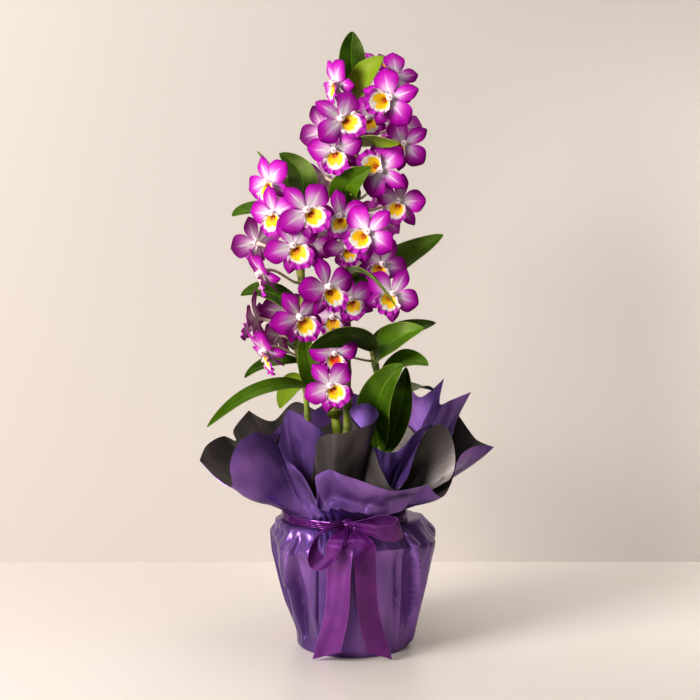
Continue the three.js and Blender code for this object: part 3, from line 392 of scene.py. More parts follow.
class Wiring:
    """Short words for the nodes of one tree."""

    def __init__(self, tree):
        self.tree = tree

    def node(self, kind, inputs=None, **settings):
        made = self.tree.nodes.new(kind)
        for name, value in settings.items():
            setattr(made, name, value)
        for name, value in (inputs or {}).items():
            if isinstance(value, Value):
                self.tree.links.new(value.socket, made.inputs[name])
            else:
                made.inputs[name].default_value = value
        return made

    def value(self, kind, inputs=None, output=0, **settings):
        return Value(self, self.node(kind, inputs, **settings).outputs[output])

    def values(self, sockets):
        return [Value(self, socket) for socket in sockets]

    def calc(self, operation, *parts, clamp=False):
        return self.value("ShaderNodeMath", dict(enumerate(parts)), operation=operation, use_clamp=clamp)

    def between(self, value, low, high):
        """0 below low, 1 above high, smooth between."""
        inputs = {"Value": value, "From Min": low, "From Max": high}
        return self.value("ShaderNodeMapRange", inputs, interpolation_type="SMOOTHSTEP")

    def below(self, value, low, high):
        """1 below low, 0 above high, smooth between."""
        return 1.0 - self.between(value, low, high)

    def bell(self, value, centre, width):
        """1 at the centre, falling to 0 on both sides."""
        share = (value - centre) / width
        return self.calc("EXPONENT", share * share * -1.0)

    def mixed(self, share, one, other):
        inputs = {0: share, 6: paint(one), 7: paint(other)}
        return self.value("ShaderNodeMix", inputs, output=2, data_type="RGBA")

    def ramp(self, value, *stops):
        made = self.node("ShaderNodeValToRGB", {"Fac": value})
        elements = made.color_ramp.elements
        while len(elements) < len(stops):
            elements.new(0.5)
        for element, (place, colour) in zip(elements, stops):
            element.position, element.color = place, paint(colour)
        return Value(self, made.outputs[0])

    def place(self):
        """Across, along and chance of the surface, from the mesh's own attribute."""
        settings = {"attribute_name": PLACE, "attribute_type": "GEOMETRY"}
        made = self.value("ShaderNodeAttribute", output="Vector", **settings)
        return self.values(self.node("ShaderNodeSeparateXYZ", {0: made}).outputs)

    def object_place(self):
        return self.value("ShaderNodeTexCoord", output="Object")

    def grain(self, scale, detail=2.0, vector=None):
        """Noise from 0 to 1."""
        vector = vector or self.object_place()
        return self.value("ShaderNodeTexNoise", {"Vector": vector, "Scale": scale, "Detail": detail})

    def waver(self, size, scale, detail=2.0):
        """Noise on both sides of 0."""
        return (self.grain(scale, detail) - 0.5) * size

    def bump(self, height, strength, distance):
        return self.value("ShaderNodeBump", {"Height": height, "Strength": strength, "Distance": distance})

    def mask(self, group, *parts):
        """A node group with its inputs in their order."""
        return self.value("ShaderNodeGroup", dict(enumerate(parts)), node_tree=group)


def mask_group(name, build, inputs):
    """A shader node group that puts out one mask; None stands for an input that is a vector."""
    tree = bpy.data.node_groups.new(name, "ShaderNodeTree")
    for word, value in inputs.items():
        kind = "NodeSocketVector" if value is None else "NodeSocketFloat"
        socket = tree.interface.new_socket(word, in_out="INPUT", socket_type=kind)
        if value is not None:
            socket.default_value = value
    tree.interface.new_socket("Mask", in_out="OUTPUT", socket_type="NodeSocketFloat")
    start, end = tree.nodes.new("NodeGroupInput"), tree.nodes.new("NodeGroupOutput")
    w = Wiring(tree)
    tree.links.new(build(w, *w.values(start.outputs[: len(inputs)])).socket, end.inputs[0])
    return tree


def build_veins(w, across, along, chance, count, wander):
    """Fine veins that run from root to tip and waver a little."""
    spot = w.value("ShaderNodeCombineXYZ", {0: across * 2.0, 1: along, 2: chance})
    drift = (w.grain(3.0, 1.0, spot) - 0.5) * wander
    wave = w.calc("SINE", (across * count + drift) * math.pi)
    return (wave * 0.5 + 0.5) ** 3.0


def build_streaks(w, stretch, scale, contrast):
    """Broad soft clouds drawn out along the film; the film paints its sheen and sets its crinkle with them.
    """
    spot = w.value("ShaderNodeVectorMath", {0: w.object_place(), 1: stretch}, operation="MULTIPLY")
    return w.calc("MULTIPLY_ADD", w.grain(scale, 3.0, spot) - 0.5, contrast, 0.5, clamp=True)


VEINS = mask_group(
    "leafy_veins", build_veins, {"Across": 0.0, "Along": 0.0, "Chance": 0.0, "Count": 8.0, "Wander": 1.0},
)
STREAKS = mask_group("soft_streaks", build_streaks, {"Stretch": None, "Scale": 20.0, "Contrast": 1.0})


def new_finish(name, build, **constants):
    """A procedural material: build returns what goes into the shader's sockets, the rest are constants."""
    finish = bpy.data.materials.new(name)
    finish.use_nodes = True
    shader = finish.node_tree.nodes["Principled BSDF"]
    for word, value in constants.items():
        shader.inputs[word.replace("_", " ").title().replace("Ior", "IOR")].default_value = value
    for word, value in build(Wiring(finish.node_tree)).items():
        finish.node_tree.links.new(value.socket, shader.inputs[word])
    return finish


PALE, BLUSH, ROSE, MAGENTA, DEEP, WINE = 0xCEBEC4, 0xBE7AB4, 0xAC309E, 0x9A0C8C, 0x800474, 0x5C004E
TEPAL_TONES = (PALE, BLUSH, ROSE, MAGENTA, DEEP, WINE)
TEPAL_SHEEN = {"roughness": 0.55, "specular_ior_level": 0.08, "specular_tint": (1.0, 0.3, 0.95, 1.0)}


def tepal_colour(streak, places, tones=TEPAL_TONES):
    """Pale at the root and dark at tip and edge, with veins and a pale streak along the midrib."""
    def build(w):
        across, along, chance = w.place()
        edge = abs(across) ** 2.0 * 0.34
        vein = w.mask(VEINS, across, along, chance, 11.0, 1.6)
        depth = along * 0.84 + edge + w.waver(0.16, 90.0) + vein * 0.07 + (chance - 0.5) * 0.12
        pale = w.below(abs(across), 0.02, 0.14) * w.below(along, 0.55, 0.92) * streak
        colour = w.ramp(w.calc("SUBTRACT", depth, pale, clamp=True), *zip(places, tones))
        height = w.grain(500.0, 3.0) - vein * 0.8
        return {"Base Color": colour, "Normal": w.bump(height, 0.25, 0.0006)}
    return build


PETAL = new_finish("petal_face", tepal_colour(0.14, (0.22, 0.4, 0.56, 0.72, 0.9, 1.0)), **TEPAL_SHEEN)
SEPAL = new_finish("sepal_face", tepal_colour(0.24, (0.2, 0.4, 0.56, 0.74, 0.92, 1.0)), **TEPAL_SHEEN)
TEPAL_BACK = new_finish(
    "tepal_back", tepal_colour(0.26, (0.2, 0.38, 0.62, 1.0), (0xEEDCDE, 0xDA92CE, 0xBC3AB0, MAGENTA)),
    roughness=0.6, specular_ior_level=0.15,
)


def lip_colour(w):
    """Yellow disc with a notch below, a painted shadow of the column as two dark red-brown marks in the
    throat, a white ring and a magenta margin.
    """
    x, y, chance = w.place()
    reach = w.calc("SQRT", x * x + y * y)
    wander = w.waver(0.22, 260.0, 3.0)
    ragged = reach + wander
    notch = w.bell(x, 0.0, 0.15) * w.between(y, 0.1, 0.4) * 0.14
    disc = w.below(ragged + notch, 0.59, 0.67)
    colour = w.mixed(disc, 0xD0C5B8, 0xE4B002)
    colour = w.mixed(w.below(reach, 0.1, 0.45) * disc, colour, 0xC46E06)
    colour = w.mixed(w.between(chance, 0.97, 0.99) * w.below(reach, 0.35, 0.6), colour, 0xD0300F)
    freckles = w.below(reach + w.waver(0.7, 420.0), 0.14, 0.3)
    colour = w.mixed(freckles * 0.9, colour, 0xB0430A)
    # Painted shadow: two dark red-brown marks beside the throat, where the column's shadow falls.
    painted_column_shadow = w.bell(abs(x), 0.14, 0.05) * w.bell(y, 0.0, 0.2) * (wander + 1.0)
    colour = w.mixed(w.between(painted_column_shadow, 0.3, 0.7), colour, 0x561406)
    lower_rim = w.between(ragged, 0.72, 0.82) * w.between(y + chance * 0.15, -0.45, 0.2)
    whole_rim = w.between(ragged, 0.95, 1.02) * 0.8
    margin = w.mixed(w.grain(160.0), 0xB41CA6, 0x800678)
    colour = w.mixed(w.calc("MAXIMUM", lower_rim, whole_rim), colour, margin)
    height = w.grain(700.0, 3.0) + disc * -0.3
    return {"Base Color": colour, "Normal": w.bump(height, 0.35, 0.0006)}


def lip_back_colour(w):
    x, y = w.place()[:2]
    ragged = w.calc("SQRT", x * x + y * y) + w.waver(0.2, 200.0, 3.0)
    colour = w.ramp(ragged, (0.1, 0xD5BB91), (0.45, 0xDAD0CC), (0.8, BLUSH), (0.95, MAGENTA))
    return {"Base Color": colour, "Normal": w.bump(w.grain(600.0, 3.0), 0.3, 0.0006)}


def column_colour(w):
    """Waxy white with a small red eye in the tip."""
    along = w.place()[1]
    cream = w.mixed(w.grain(300.0), 0xEAE2DA, 0xDCC4C6)
    colour = w.mixed(w.between(along, 0.985, 0.995), cream, 0xA03060)
    return {"Base Color": colour, "Normal": w.bump(w.grain(500.0), 0.15, 0.0005)}


def stalk_colour(w):
    """Peach at the flower, cream along the stalk, green at the cane."""
    along = w.place()[1]
    spread = along + w.waver(0.2, 220.0)
    colour = w.ramp(spread, (0.05, 0xC5A29E), (0.3, 0xC8B491), (0.7, 0xB4A66F), (1.0, 0x727B2D))
    return {"Base Color": colour, "Normal": w.bump(w.grain(400.0), 0.25, 0.0005)}


LIP = new_finish("lip_inside", lip_colour, roughness=0.6, specular_ior_level=0.2)
LIP_BACK = new_finish("lip_outside", lip_back_colour, roughness=0.6, specular_ior_level=0.2)
COLUMN = new_finish("column_white", column_colour, roughness=0.35)
STALK = new_finish("flower_stalk", stalk_colour, roughness=0.5)


def leaf_colour(dark, fresh, olive, rib, margin):
    """Parallel veins, a pale midrib, a thin light margin and soft blotches; chance picks the tone."""
    def build(w):
        across, along, chance = w.place()
        tone = w.ramp(chance, (0.1, dark), (0.5, fresh), (0.95, olive))
        tone = w.mixed(w.between(w.grain(38.0, 3.0), 0.35, 0.75), tone, w.mixed(0.35, tone, rib))
        vein = w.mask(VEINS, across, along, chance, 13.0, 0.5)
        tone = w.mixed(vein * 0.08, tone, rib)
        tone = w.mixed(w.below(abs(across), 0.012, 0.05) * 0.55, tone, rib)
        tone = w.mixed(w.between(abs(across), 0.95, 1.0) * 0.7, tone, margin)
        height = vein * 0.25 + w.grain(420.0, 3.0) * 0.4
        rough = w.grain(60.0) * 0.2 + 0.28
        return {"Base Color": tone, "Roughness": rough, "Normal": w.bump(height, 0.35, 0.0008)}
    return build


LEAF_TINT = (0.9, 1.0, 0.3, 1.0)
LEAF_TOP = new_finish(
    "leaf_top", leaf_colour(0x0B1900, 0x2C4401, 0x687810, 0x557E18, 0x7B912D),
    specular_ior_level=0.18, specular_tint=LEAF_TINT,
)
LEAF_UNDER = new_finish(
    "leaf_underside", leaf_colour(0x2A3A0A, 0x3C4E10, 0x666C1C, 0x707A34, 0x858A44),
    specular_ior_level=0.08, specular_tint=LEAF_TINT,
)


def cane_colour(w):
    """Yellow-green with a darker ring above each joint and faint lengthwise ridges."""
    across, along = w.place()[:2]
    ring = w.calc("PINGPONG", along, 0.5)
    tone = w.ramp(ring, (0.02, 0x58610E), (0.1, 0x90903C), (0.28, 0x7C861B), (0.5, 0x637211))
    tone = w.mixed(w.between(w.grain(45.0, 3.0), 0.4, 0.75), tone, 0x435115)
    ridge = w.calc("SINE", across * 40.0)
    return {"Base Color": tone, "Normal": w.bump(ridge * 0.3 + w.grain(350.0, 3.0), 0.3, 0.0006)}


CANE = new_finish("cane_skin", cane_colour, roughness=0.42)


def film_colour(light, mid, dark, smoothest):
    """Two-tone satin film, a little cloudy with painted sheen: soft streaks run from a dark to a light tone.
    Finely crinkled.
    """
    def build(w):
        painted_sheen = w.mask(STREAKS, (1.0, 1.0, 0.45), 16.0, 1.3)
        # Painted sheen: streaks of lighter and darker tone stand in for the satin's shine.
        colour = w.ramp(painted_sheen, (0.2, dark), (0.5, mid), (0.8, light))
        crinkle = w.mask(STREAKS, (1.0, 1.0, 0.5), 60.0, 1.6) * 0.7 + w.grain(420.0)
        rough = painted_sheen * 0.1 + smoothest
        return {"Base Color": colour, "Roughness": rough, "Normal": w.bump(crinkle, 0.1, 0.0012)}
    return build


FILM_PURPLE = new_finish("film_purple", film_colour(0x9262AC, 0x5E3C7E, 0x2C1A50, 0.28), metallic=0.75)
FILM_CHARCOAL = new_finish("film_charcoal", film_colour(0x6E6462, 0x423A38, 0x2A2626, 0.38), metallic=0.65)


def satin_colour(w):
    """Ribbon satin: threads across the strip and a thin bright edge cord."""
    across, along = w.place()[:2]
    colour = w.ramp(w.grain(40.0), (0.3, 0x4A1258), (0.7, 0x691E71))
    edge = w.between(abs(across), 0.93, 0.97)
    colour = w.mixed(edge * 0.4, colour, 0x8A4894)
    height = w.calc("SINE", along * 900.0) * 0.25 + edge * 0.8
    return {"Base Color": colour, "Normal": w.bump(height, 0.2, 0.0005)}


SATIN = new_finish("ribbon_satin", satin_colour, roughness=0.32, metallic=0.6)


def bark_colour(w):
    chips = w.node("ShaderNodeTexVoronoi", {"Vector": w.object_place(), "Scale": 70.0}).outputs
    chip, gap = w.values((chips["Color"], chips["Distance"]))
    colour = w.ramp(chip, (0.1, 0x2E1D12), (0.5, 0x5A3D26), (0.9, 0x7A5A3C))
    colour = w.mixed(w.between(w.grain(30.0, 3.0), 0.55, 0.75), colour, 0x55602A)
    return {"Base Color": colour, "Normal": w.bump(gap + w.grain(300.0, 4.0), 0.6, 0.003)}


def pot_colour(w):
    wear = w.grain(25.0, 4.0)
    colour = w.ramp(wear, (0.3, 0x2C211C), (0.7, 0x43332B))
    rough = wear * 0.25 + 0.4
    return {"Base Color": colour, "Roughness": rough, "Normal": w.bump(w.grain(900.0), 0.2, 0.0005)}


BARK = new_finish("bark_mix", bark_colour, roughness=0.9)
POT = new_finish("pot_plastic", pot_colour)


# ---- canes ----
CANE_STEPS = 400
CANE_SIDES = 16
RINGS_A_JOINT = 12
JOINT_SWELL, WAIST = 0.26, 0.92
CANE_TAPER = 0.3


def cane_at(cane, height):
    """The cane's centre and direction at a height."""
    points = curve_at(CANES[cane][0], np.linspace(0, 1, CANE_STEPS + 1))
    index = min(np.searchsorted(points[:, 2], height), CANE_STEPS - 1)
    low = max(index - 1, 0)
    share = (height - points[low, 2]) / (points[low + 1, 2] - points[low, 2])
    centre = points[low] + share * (points[low + 1] - points[low])
    return centre, unit(points[low + 1] - points[low])


def cane_tree():
    """A cane along a curve: it swells at each joint, narrows between them and tapers towards its top."""
    tree = bpy.data.node_groups.new("cane_along_curve", "GeometryNodeTree")
    add = tree.interface.new_socket
    add("Geometry", in_out="INPUT", socket_type="NodeSocketGeometry")
    add("Geometry", in_out="OUTPUT", socket_type="NodeSocketGeometry")
    for word, value in (("Radius", 0.0046), ("Joints", 10.0), ("Swell", JOINT_SWELL), ("Taper", CANE_TAPER)):
        add(word, in_out="INPUT", socket_type="NodeSocketFloat").default_value = value
    add("Skin", in_out="INPUT", socket_type="NodeSocketMaterial")
    w = Wiring(tree)
    start, end = tree.nodes.new("NodeGroupInput"), tree.nodes.new("NodeGroupOutput")
    geometry, radius, joints, swell, taper, skin = w.values(start.outputs[:6])
    factor = w.value("GeometryNodeSplineParameter", output="Factor")
    between = w.calc("PINGPONG", factor * joints, 0.5) * 2.0
    waist = (1.0 - between) ** 3.0
    narrow = 1.0 - taper * factor**3.0
    scale = (waist * swell + WAIST) * (narrow * radius)
    ring = w.value("GeometryNodeCurvePrimitiveCircle", {"Resolution": CANE_SIDES, "Radius": 1.0})
    inputs = {"Curve": geometry, "Profile Curve": ring, "Scale": scale, "Fill Caps": True}
    mesh = w.value("GeometryNodeCurveToMesh", inputs)
    mesh = w.value("GeometryNodeRealizeInstances", {"Geometry": mesh})
    mesh = w.value("GeometryNodeSetMaterial", {"Geometry": mesh, "Material": skin})
    tree.links.new(mesh.socket, end.inputs[0])
    return tree


CANE_TREE = cane_tree()


def modified(name, data, tree, values):
    """The plain mesh that a tree of geometry nodes makes of some data."""
    maker = linked(name, data)
    modifier = maker.modifiers.new(name, "NODES")
    modifier.node_group = tree
    for item in tree.interface.items_tree:
        if item.in_out == "INPUT" and item.name in values:
            modifier[item.identifier] = values[item.name]
    graph = bpy.context.evaluated_depsgraph_get()
    mesh = bpy.data.meshes.new_from_object(maker.evaluated_get(graph), depsgraph=graph)
    maker.modifiers.remove(modifier)
    bpy.data.objects.remove(maker)
    return mesh


def cane_shape(shape, cane):
    """Takes the cane's skin over from its tree, with a place for each point."""
    path, radius = CANES[cane]
    joints = round((path[-1][2] - path[0][2]) / INTERNODE)
    curve = bpy.data.curves.new("cane_line", "CURVE")
    curve.dimensions = "3D"
    line = curve.splines.new("POLY")
    points = curve_at(path, np.linspace(0, 1, RINGS_A_JOINT * joints + 1)) * MM
    line.points.add(len(points) - 1)
    line.points.foreach_set("co", np.hstack([points, np.ones((len(points), 1))]).ravel())
    values = {"Radius": radius * MM, "Joints": float(joints), "Skin": CANE}
    mesh = modified("cane_line", curve, CANE_TREE, values)
    co = np.zeros(len(mesh.vertices) * 3)
    mesh.vertices.foreach_get("co", co)
    co = co.reshape(-1, 3) / MM
    nearest = np.array([np.argmin(np.linalg.norm(points / MM - p, axis=1)) for p in co])
    out = co - points[nearest] / MM
    turn = np.arctan2(out[:, 1], out[:, 0]) / math.pi
    faces = [list(polygon.vertices) for polygon in mesh.polygons]
    shape.add(co, stacked(turn, nearest / RINGS_A_JOINT, 0.5), faces, [0] * len(faces))


# ---- leaves ----
LEAF_SEED = 100
LEAF_ROWS, LEAF_COLUMNS = 36, 13
LEAF_FROM, LEAF_TO = 0.012, 0.997
LEAF_FOLD = 0.3
RIPPLES = ((0.045, 9), (0.03, 15))
MIDRIB_GROOVE = 0.5
LEAF_THICK, MIDRIB_THICK = 0.5, 0.7


def leaf_shape(shape, index):
    """A leaf along its bent midrib: folded up at the midrib, rippled at the edges and thick at the rib."""
    cane, height, bend, tip, width, face, tone = LEAVES[index]
    draw = random.Random(LEAF_SEED + index)
    under = tone < 0
    root = cane_at(cane, height)[0]
    bend, tip = np.array(bend, float), np.array(tip, float)
    t = np.linspace(LEAF_FROM, LEAF_TO, LEAF_ROWS)[:, None]
    s = np.linspace(-1, 1, LEAF_COLUMNS)[None, :, None]
    middle = root * (1 - t) ** 2 + bend * 2 * t * (1 - t) + tip * t**2
    along = unit((bend - root) * (1 - t) + (tip - bend) * t)
    side = unit(np.cross(along, np.array(face, float)))
    normal = np.cross(side, along)
    half = width / 2 * np.sin(math.pi * t**0.85) ** 0.65
    first, second, _ = (draw.uniform(0, WHOLE_WAVE) for _ in range(3))
    (deep, waves), (less, more) = RIPPLES
    ripple = deep * np.sin(waves * t + first)[:, None] * np.sign(s)
    ripple = ripple + less * np.sin(more * t + second)[:, None]
    lift = (-LEAF_FOLD if under else LEAF_FOLD) * np.abs(s) ** 1.35 + ripple * np.abs(s) ** 2
    grid = middle[:, None] + side[:, None] * s * half[:, None] + normal[:, None] * lift * half[:, None]
    grid += normal[:, None] * -MIDRIB_GROOVE * hump(s, 0, 0.08)
    s = s[..., 0]
    thickness = LEAF_THICK + MIDRIB_THICK * hump(s, 0, 0.25) * (1 - 0.6 * t)
    chance = abs(tone) + draw.uniform(-0.05, 0.05)
    front, back = (2, 1) if under else (1, 2)
    shape.shell(grid, thickness, stacked(s, t, chance), front, back)


for cane in CANES:
    shape = Shape()
    cane_shape(shape, cane)
    for index, leaf in enumerate(LEAVES):
        if leaf[0] == cane:
            leaf_shape(shape, index)
    finished("leafy_cane_" + cane, shape, (CANE, LEAF_TOP, LEAF_UNDER), "cane_" + cane)


# ---- blooms ----
# Tepals: angle from the dorsal sepal, length, width, widest place, start in front of the middle, recurve,
# ruffle of the edge and the number of the finish.
TEPALS = (
    (0, 29, 16, 0.58, 0, 3, 0.5, 1),
    (78, 29.5, 24, 0.6, 1.4, 2.5, 1.3, 0),
    (-78, 29.5, 24, 0.6, 1.4, 2.5, 1.3, 0),
    (142, 28.5, 15, 0.54, -0.6, 4, 0.5, 1),
    (-142, 28.5, 15, 0.54, -0.6, 4, 0.5, 1),
)
FULLNESS = 1.6
TEPAL_ROOT = 1.5
TEPAL_ARCH = 2.4
TEPAL_CUP = 1.2
TEPAL_GROOVE = 0.7
TEPAL_ROWS, TEPAL_COLUMNS = 15, 11
TEPAL_THICK = 0.55
TIP_POINT = 0.22
CLAW = 2.2
THROAT, MOUTH = np.array((0, -2.2, 1.6)), np.array((0, -10.5, 11.5))
MOUTH_WIDE, MOUTH_TALL = 12.5, 12
MOUTH_TILT = math.radians(24)
LIP_ROWS, LIP_COLUMNS = 15, 52
LIP_THICK = 0.5
FRILL, LIP_CURL = 1.2, 2.2
# The column: a short rod with a rounded cap. Places along it, and its radius there.
COLUMN_FOOT, COLUMN_RUN = np.array((0, 0.2, -1.0)), np.array((0, 1.2, 9.6))
COLUMN_PLACES = np.array((0, 0.12, 0.3, 0.5, 0.68, 0.8, 0.9, 0.96, 0.99, 1.0))
COLUMN_RADII = np.array((3.6, 3.4, 3.0, 2.9, 3.1, 3.4, 3.1, 2.1, 1.0, 0.15))
COLUMN_SIDES = 12
STALK_START = np.array((0, -0.9, -1.6))
STALK_R, STALK_ROWS, STALK_SIDES = 1.4, 12, 9
STALK_DROP, STALK_SWEEP, STALK_OUT = 11, 13, 9
CANE_TOP_MARGIN = 6
BLOOM_FINISHES = (PETAL, SEPAL, TEPAL_BACK, LIP, LIP_BACK, COLUMN, STALK)
RED_THROATED = 27


def bloom_frame(turn, nod, dorsal):
    """The flower's own directions: x to the viewer's right, y to the dorsal sepal, z to the front."""
    turn, nod, dorsal = (math.radians(angle) for angle in (turn, nod, dorsal))
    front, up, right = facing(turn, nod), facing(turn, nod + math.pi / 2), facing(turn + math.pi / 2, 0)
    y = right * math.cos(dorsal) + up * math.sin(dorsal)
    return np.array((np.cross(y, front), y, front))


def tepal_grid(tepal, draw):
    angle, length, width, widest, front, recurve, ruffle, _ = tepal
    angle = math.radians(angle + draw.uniform(-4, 4))
    length *= draw.uniform(0.96, 1.01)
    t = 0.996 - 0.966 * np.linspace(1, 0, TEPAL_ROWS)[:, None] ** 1.4
    s = np.linspace(-1, 1, TEPAL_COLUMNS)
    rise = (t / widest) ** (widest * FULLNESS)
    fall = ((1 - t) / (1 - widest)) ** ((1 - widest) * FULLNESS)
    half = np.maximum(width / 2 * rise * fall, CLAW * (1 - t / 0.3))
    across = s * (half * (1 - TIP_POINT * smooth_step(0.72, 1, t)))
    out = TEPAL_ROOT + (length - TEPAL_ROOT) * t
    arch = TEPAL_ARCH * np.sin(math.pi * t * 0.85)
    depth = front + arch - (recurve + draw.uniform(-1.5, 1.5)) * t**2 - TEPAL_CUP * s**2 * t
    phase, twist = draw.uniform(0, WHOLE_WAVE), draw.uniform(-0.12, 0.12)
    depth = depth + ruffle * np.abs(s) ** 3 * np.sin(8 * t + phase + 2 * np.sign(s)) * np.sin(math.pi * t)
    depth = depth + twist * across * t - TEPAL_GROOVE * hump(s, 0, 0.12) * (1 - t)
    x = out * math.sin(angle) + across * math.cos(angle)
    y = out * math.cos(angle) - across * math.sin(angle)
    return stacked(x, y, depth), s, t


def lip_grid(draw):
    """The trumpet from its throat to the frilled margin, whose lower edge curls back."""
    reach = np.linspace(0.03, 1.03, LIP_ROWS)[:, None]
    angle = np.linspace(0, 2 * math.pi, LIP_COLUMNS, endpoint=False)
    phases = [draw.uniform(0, WHOLE_WAVE) for _ in range(4)]
    frill = FRILL * reach**6 * (np.sin(10 * angle + phases[0]) + 0.6 * np.sin(17 * angle + phases[1]))
    wide = reach * (1 + 0.05 * reach**4 * np.sin(6 * angle + phases[2]))
    frill = frill - LIP_CURL * smooth_step(0.75, 1.05, reach) * np.maximum(np.sin(angle), 0)
    x, tall = MOUTH_WIDE * wide * np.cos(angle), MOUTH_TALL * wide * np.sin(angle)
    y = -tall * math.cos(MOUTH_TILT) + frill * math.sin(MOUTH_TILT)
    z = tall * math.sin(MOUTH_TILT) + frill * math.cos(MOUTH_TILT)
    grid = THROAT + (MOUTH - THROAT) * (reach**0.85)[..., None] + stacked(x, y, z)
    return grid, reach * np.cos(angle), reach * np.sin(angle)


def stalk_path(number, at, axes, size, cane):
    """From behind the flower in a bow to the side of its cane."""
    path, radius = CANES[cane]
    start = at + STALK_START * size @ axes
    height = STALK_HEIGHTS.get(number) or min(at[2] - STALK_DROP, path[-1][2] - CANE_TOP_MARGIN)
    centre, direction = cane_at(cane, height)
    outward = start - centre
    outward = unit(outward - direction * outward.dot(direction))
    end = centre + outward * radius * 0.8
    first, second = start - axes[2] * STALK_SWEEP, end + outward * STALK_OUT
    t = np.linspace(0, 1, STALK_ROWS)[:, None]
    return (1 - t) ** 3 * start + 3 * t * (1 - t) ** 2 * first + 3 * t**2 * (1 - t) * second + t**3 * end


def add_bloom(shape, number):
    at, turn, nod, dorsal, size, cane = BLOOMS[number - 1]
    draw = random.Random(number)
    at, axes = np.array(at, float), bloom_frame(turn, nod, dorsal)
    chance = 1.0 if number == RED_THROATED else draw.uniform(0.1, 0.9)

    def placed(local):
        return at + local @ axes * size

    for tepal in TEPALS:
        grid, s, t = tepal_grid(tepal, draw)
        tone = min(chance * 0.9 + draw.uniform(-0.1, 0.1), 0.95)
        thickness = TEPAL_THICK * (1.5 - np.abs(s) - 0.3 * t)
        shape.shell(placed(grid), thickness, stacked(s, t, tone), tepal[-1], 2)
    grid, x, y = lip_grid(draw)
    shape.shell(placed(grid), LIP_THICK, stacked(x, y, chance), 3, 4, ring=True)
    along = COLUMN_PLACES[:, None]
    rings = rings_along(COLUMN_FOOT + along * COLUMN_RUN, COLUMN_RADII, COLUMN_SIDES)
    shape.tube(placed(rings), stacked(0.0, along, chance), 5)
    # The stalk starts in a blunt chin behind the flower and widens again at the cane.
    t = np.linspace(0, 1, STALK_ROWS)
    radii = STALK_R * size * (1 + 1.1 * np.exp(-t * 9) + 0.25 * smooth_step(0.85, 1, t))
    rings = rings_along(stalk_path(number, at, axes, size, cane), radii, STALK_SIDES, axes[0])
    shape.tube(rings, stacked(0.0, t[:, None], chance), 6)


for node in sorted(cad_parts):
    if node.startswith("bloom_"):
        shape = Shape()
        for number in node.split("_")[1:]:
            add_bloom(shape, int(number))
        finished(node.replace("bloom", "flower"), shape, BLOOM_FINISHES, node)


# ---- wrap ----
SMALL_FOLDS = (
    (-24, 2, 6), (34, 3, 5), (-84, 2, 7),
    (86, 2.5, 7), (122, 3, 6), (160, 3, 5), (172, 3, 6), (205, 3, 5), (216, 3, 6),
)
FRONT_HALF_ANGLE = 60
FOLD_SPREAD = 0.45
# A fold's flanks and its lip, as shares of its width, and the heights between which folds grow and fade.
FOLD_SOFT, FOLD_STEEP = 1.6, 0.15
FOLD_GROWS, FOLD_FADES = (0, 65), (90, 120)
LIP_RISE, LIP_ASIDE, LIP_WIDTH = 0.9, 0.4, 0.35
# Flat panels of the tight film: radius and height of their middles, lean of their faces, how many in a ring.
PANELS = ((61, 22, -16, 8), (74.5, 66, -17, 9), (85.5, 99, -8, 9), (80.5, 118, 42, 10))
PANEL_CENTRE = np.array((-2, 0, 70))
PANEL_SEED = 4
# How far panels differ: place in the ring, turn in radians and lean in degrees.
PANEL_SHIFT, PANEL_TURN, PANEL_LEAN = 0.3, 0.1, 4
PANEL_INMOST, PANEL_OUTMOST = 0.92, 1.05
# Creases: seed, number, size and depth.
SHOULDER_CREASES = (5, 70, 16, 1.8)
COLLAR_CREASES = (7, 30, 44, 2.2)
MIDDLE_CREASES = (20, 26, 30, 1.0)
INNER_CREASES = (30, 26, 30, 1.0)
CREASE_LEAN = 0.5
RIM_STEPS = 8
COLLAR_ROWS = 26
FOOT_RINGS = ((0.5, 0.2), (28, 0.2), (FOOT_R - 3, 0.2), (FOOT_R - 0.6, 0.6))
BODY_LOW_Z = 2.5
# A zone says where a form starts, is whole, starts to fade and is gone.
TIGHT_ZONE = (1, 14, 120, 129)
SHOULDER_ZONE = (85, 105)
OUTER_CORNERS = (-14, 29, 80, 112, 230, 283)
MIDDLE_CORNERS = (108, 127, 164, 212)
INNER_CORNERS = (68, 126, 184)
FILM_THICK = 0.35
PLEATS = 28
PLEAT_DEEP, PLEAT_FADE = 2.2, 0.16
RADIAL_FOLDS = 24
RADIAL_SEED = 17
RADIAL_WIDTH = 3.5
RADIAL_ZONE = (0.05, 0.3, 0.45, 0.9)
ROLLED_LOBE = (34, 52)
FRONT_LOBE = (-7, 7)
LOBE_SWELL = 9
ROLL_FROM, ROLL_TO, ROLL_OUT = -18, 36, 8
ROLL_LOW, ROLL_RISE = 0.25, 0.3
ROLL_ROUND, ROLL_UNDERCUT = 0.12, 0.03
# Bellies of the collar: angle, share of the whole belly and width. Puffs under the band: angle and depth.
BELLIES = ((-46, 0.7, 17), (6, 0.5, 24), (64, 0.7, 20))
BELLY = 61.75
PUFFS = ((-82, 4), (78, 7), (165, 5), (-165, 5))
PUFF_WIDTH = 32
PUFF_RISE, PUFF_TALL = 1.12, 0.17
SHOULDER_DEEP = 2.5
TONGUE = np.array((-66, -40, 67))
TONGUE_ACROSS = np.array((0.85, -0.5))
TONGUE_HALF_WIDTH = 15
TONGUE_OUT, TONGUE_ROUND = 4, 10
TONGUE_ZONE = (-1.5, 2.5, 18, 46)


def body_circle(angle, radius, z, x=0):
    """Points on a level circle, angles in degrees from the front."""
    angle = np.radians(angle)
    return stacked(x + radius * np.sin(angle), -radius * np.cos(angle), z)


def neck_circle(angle, radius, z):
    return body_circle(angle, radius, z, NECK_X)


def away(angle, at):
    """How far an angle is from another one, from -180 to 180 degrees."""
    return (angle - at + 540) % 360 - 180


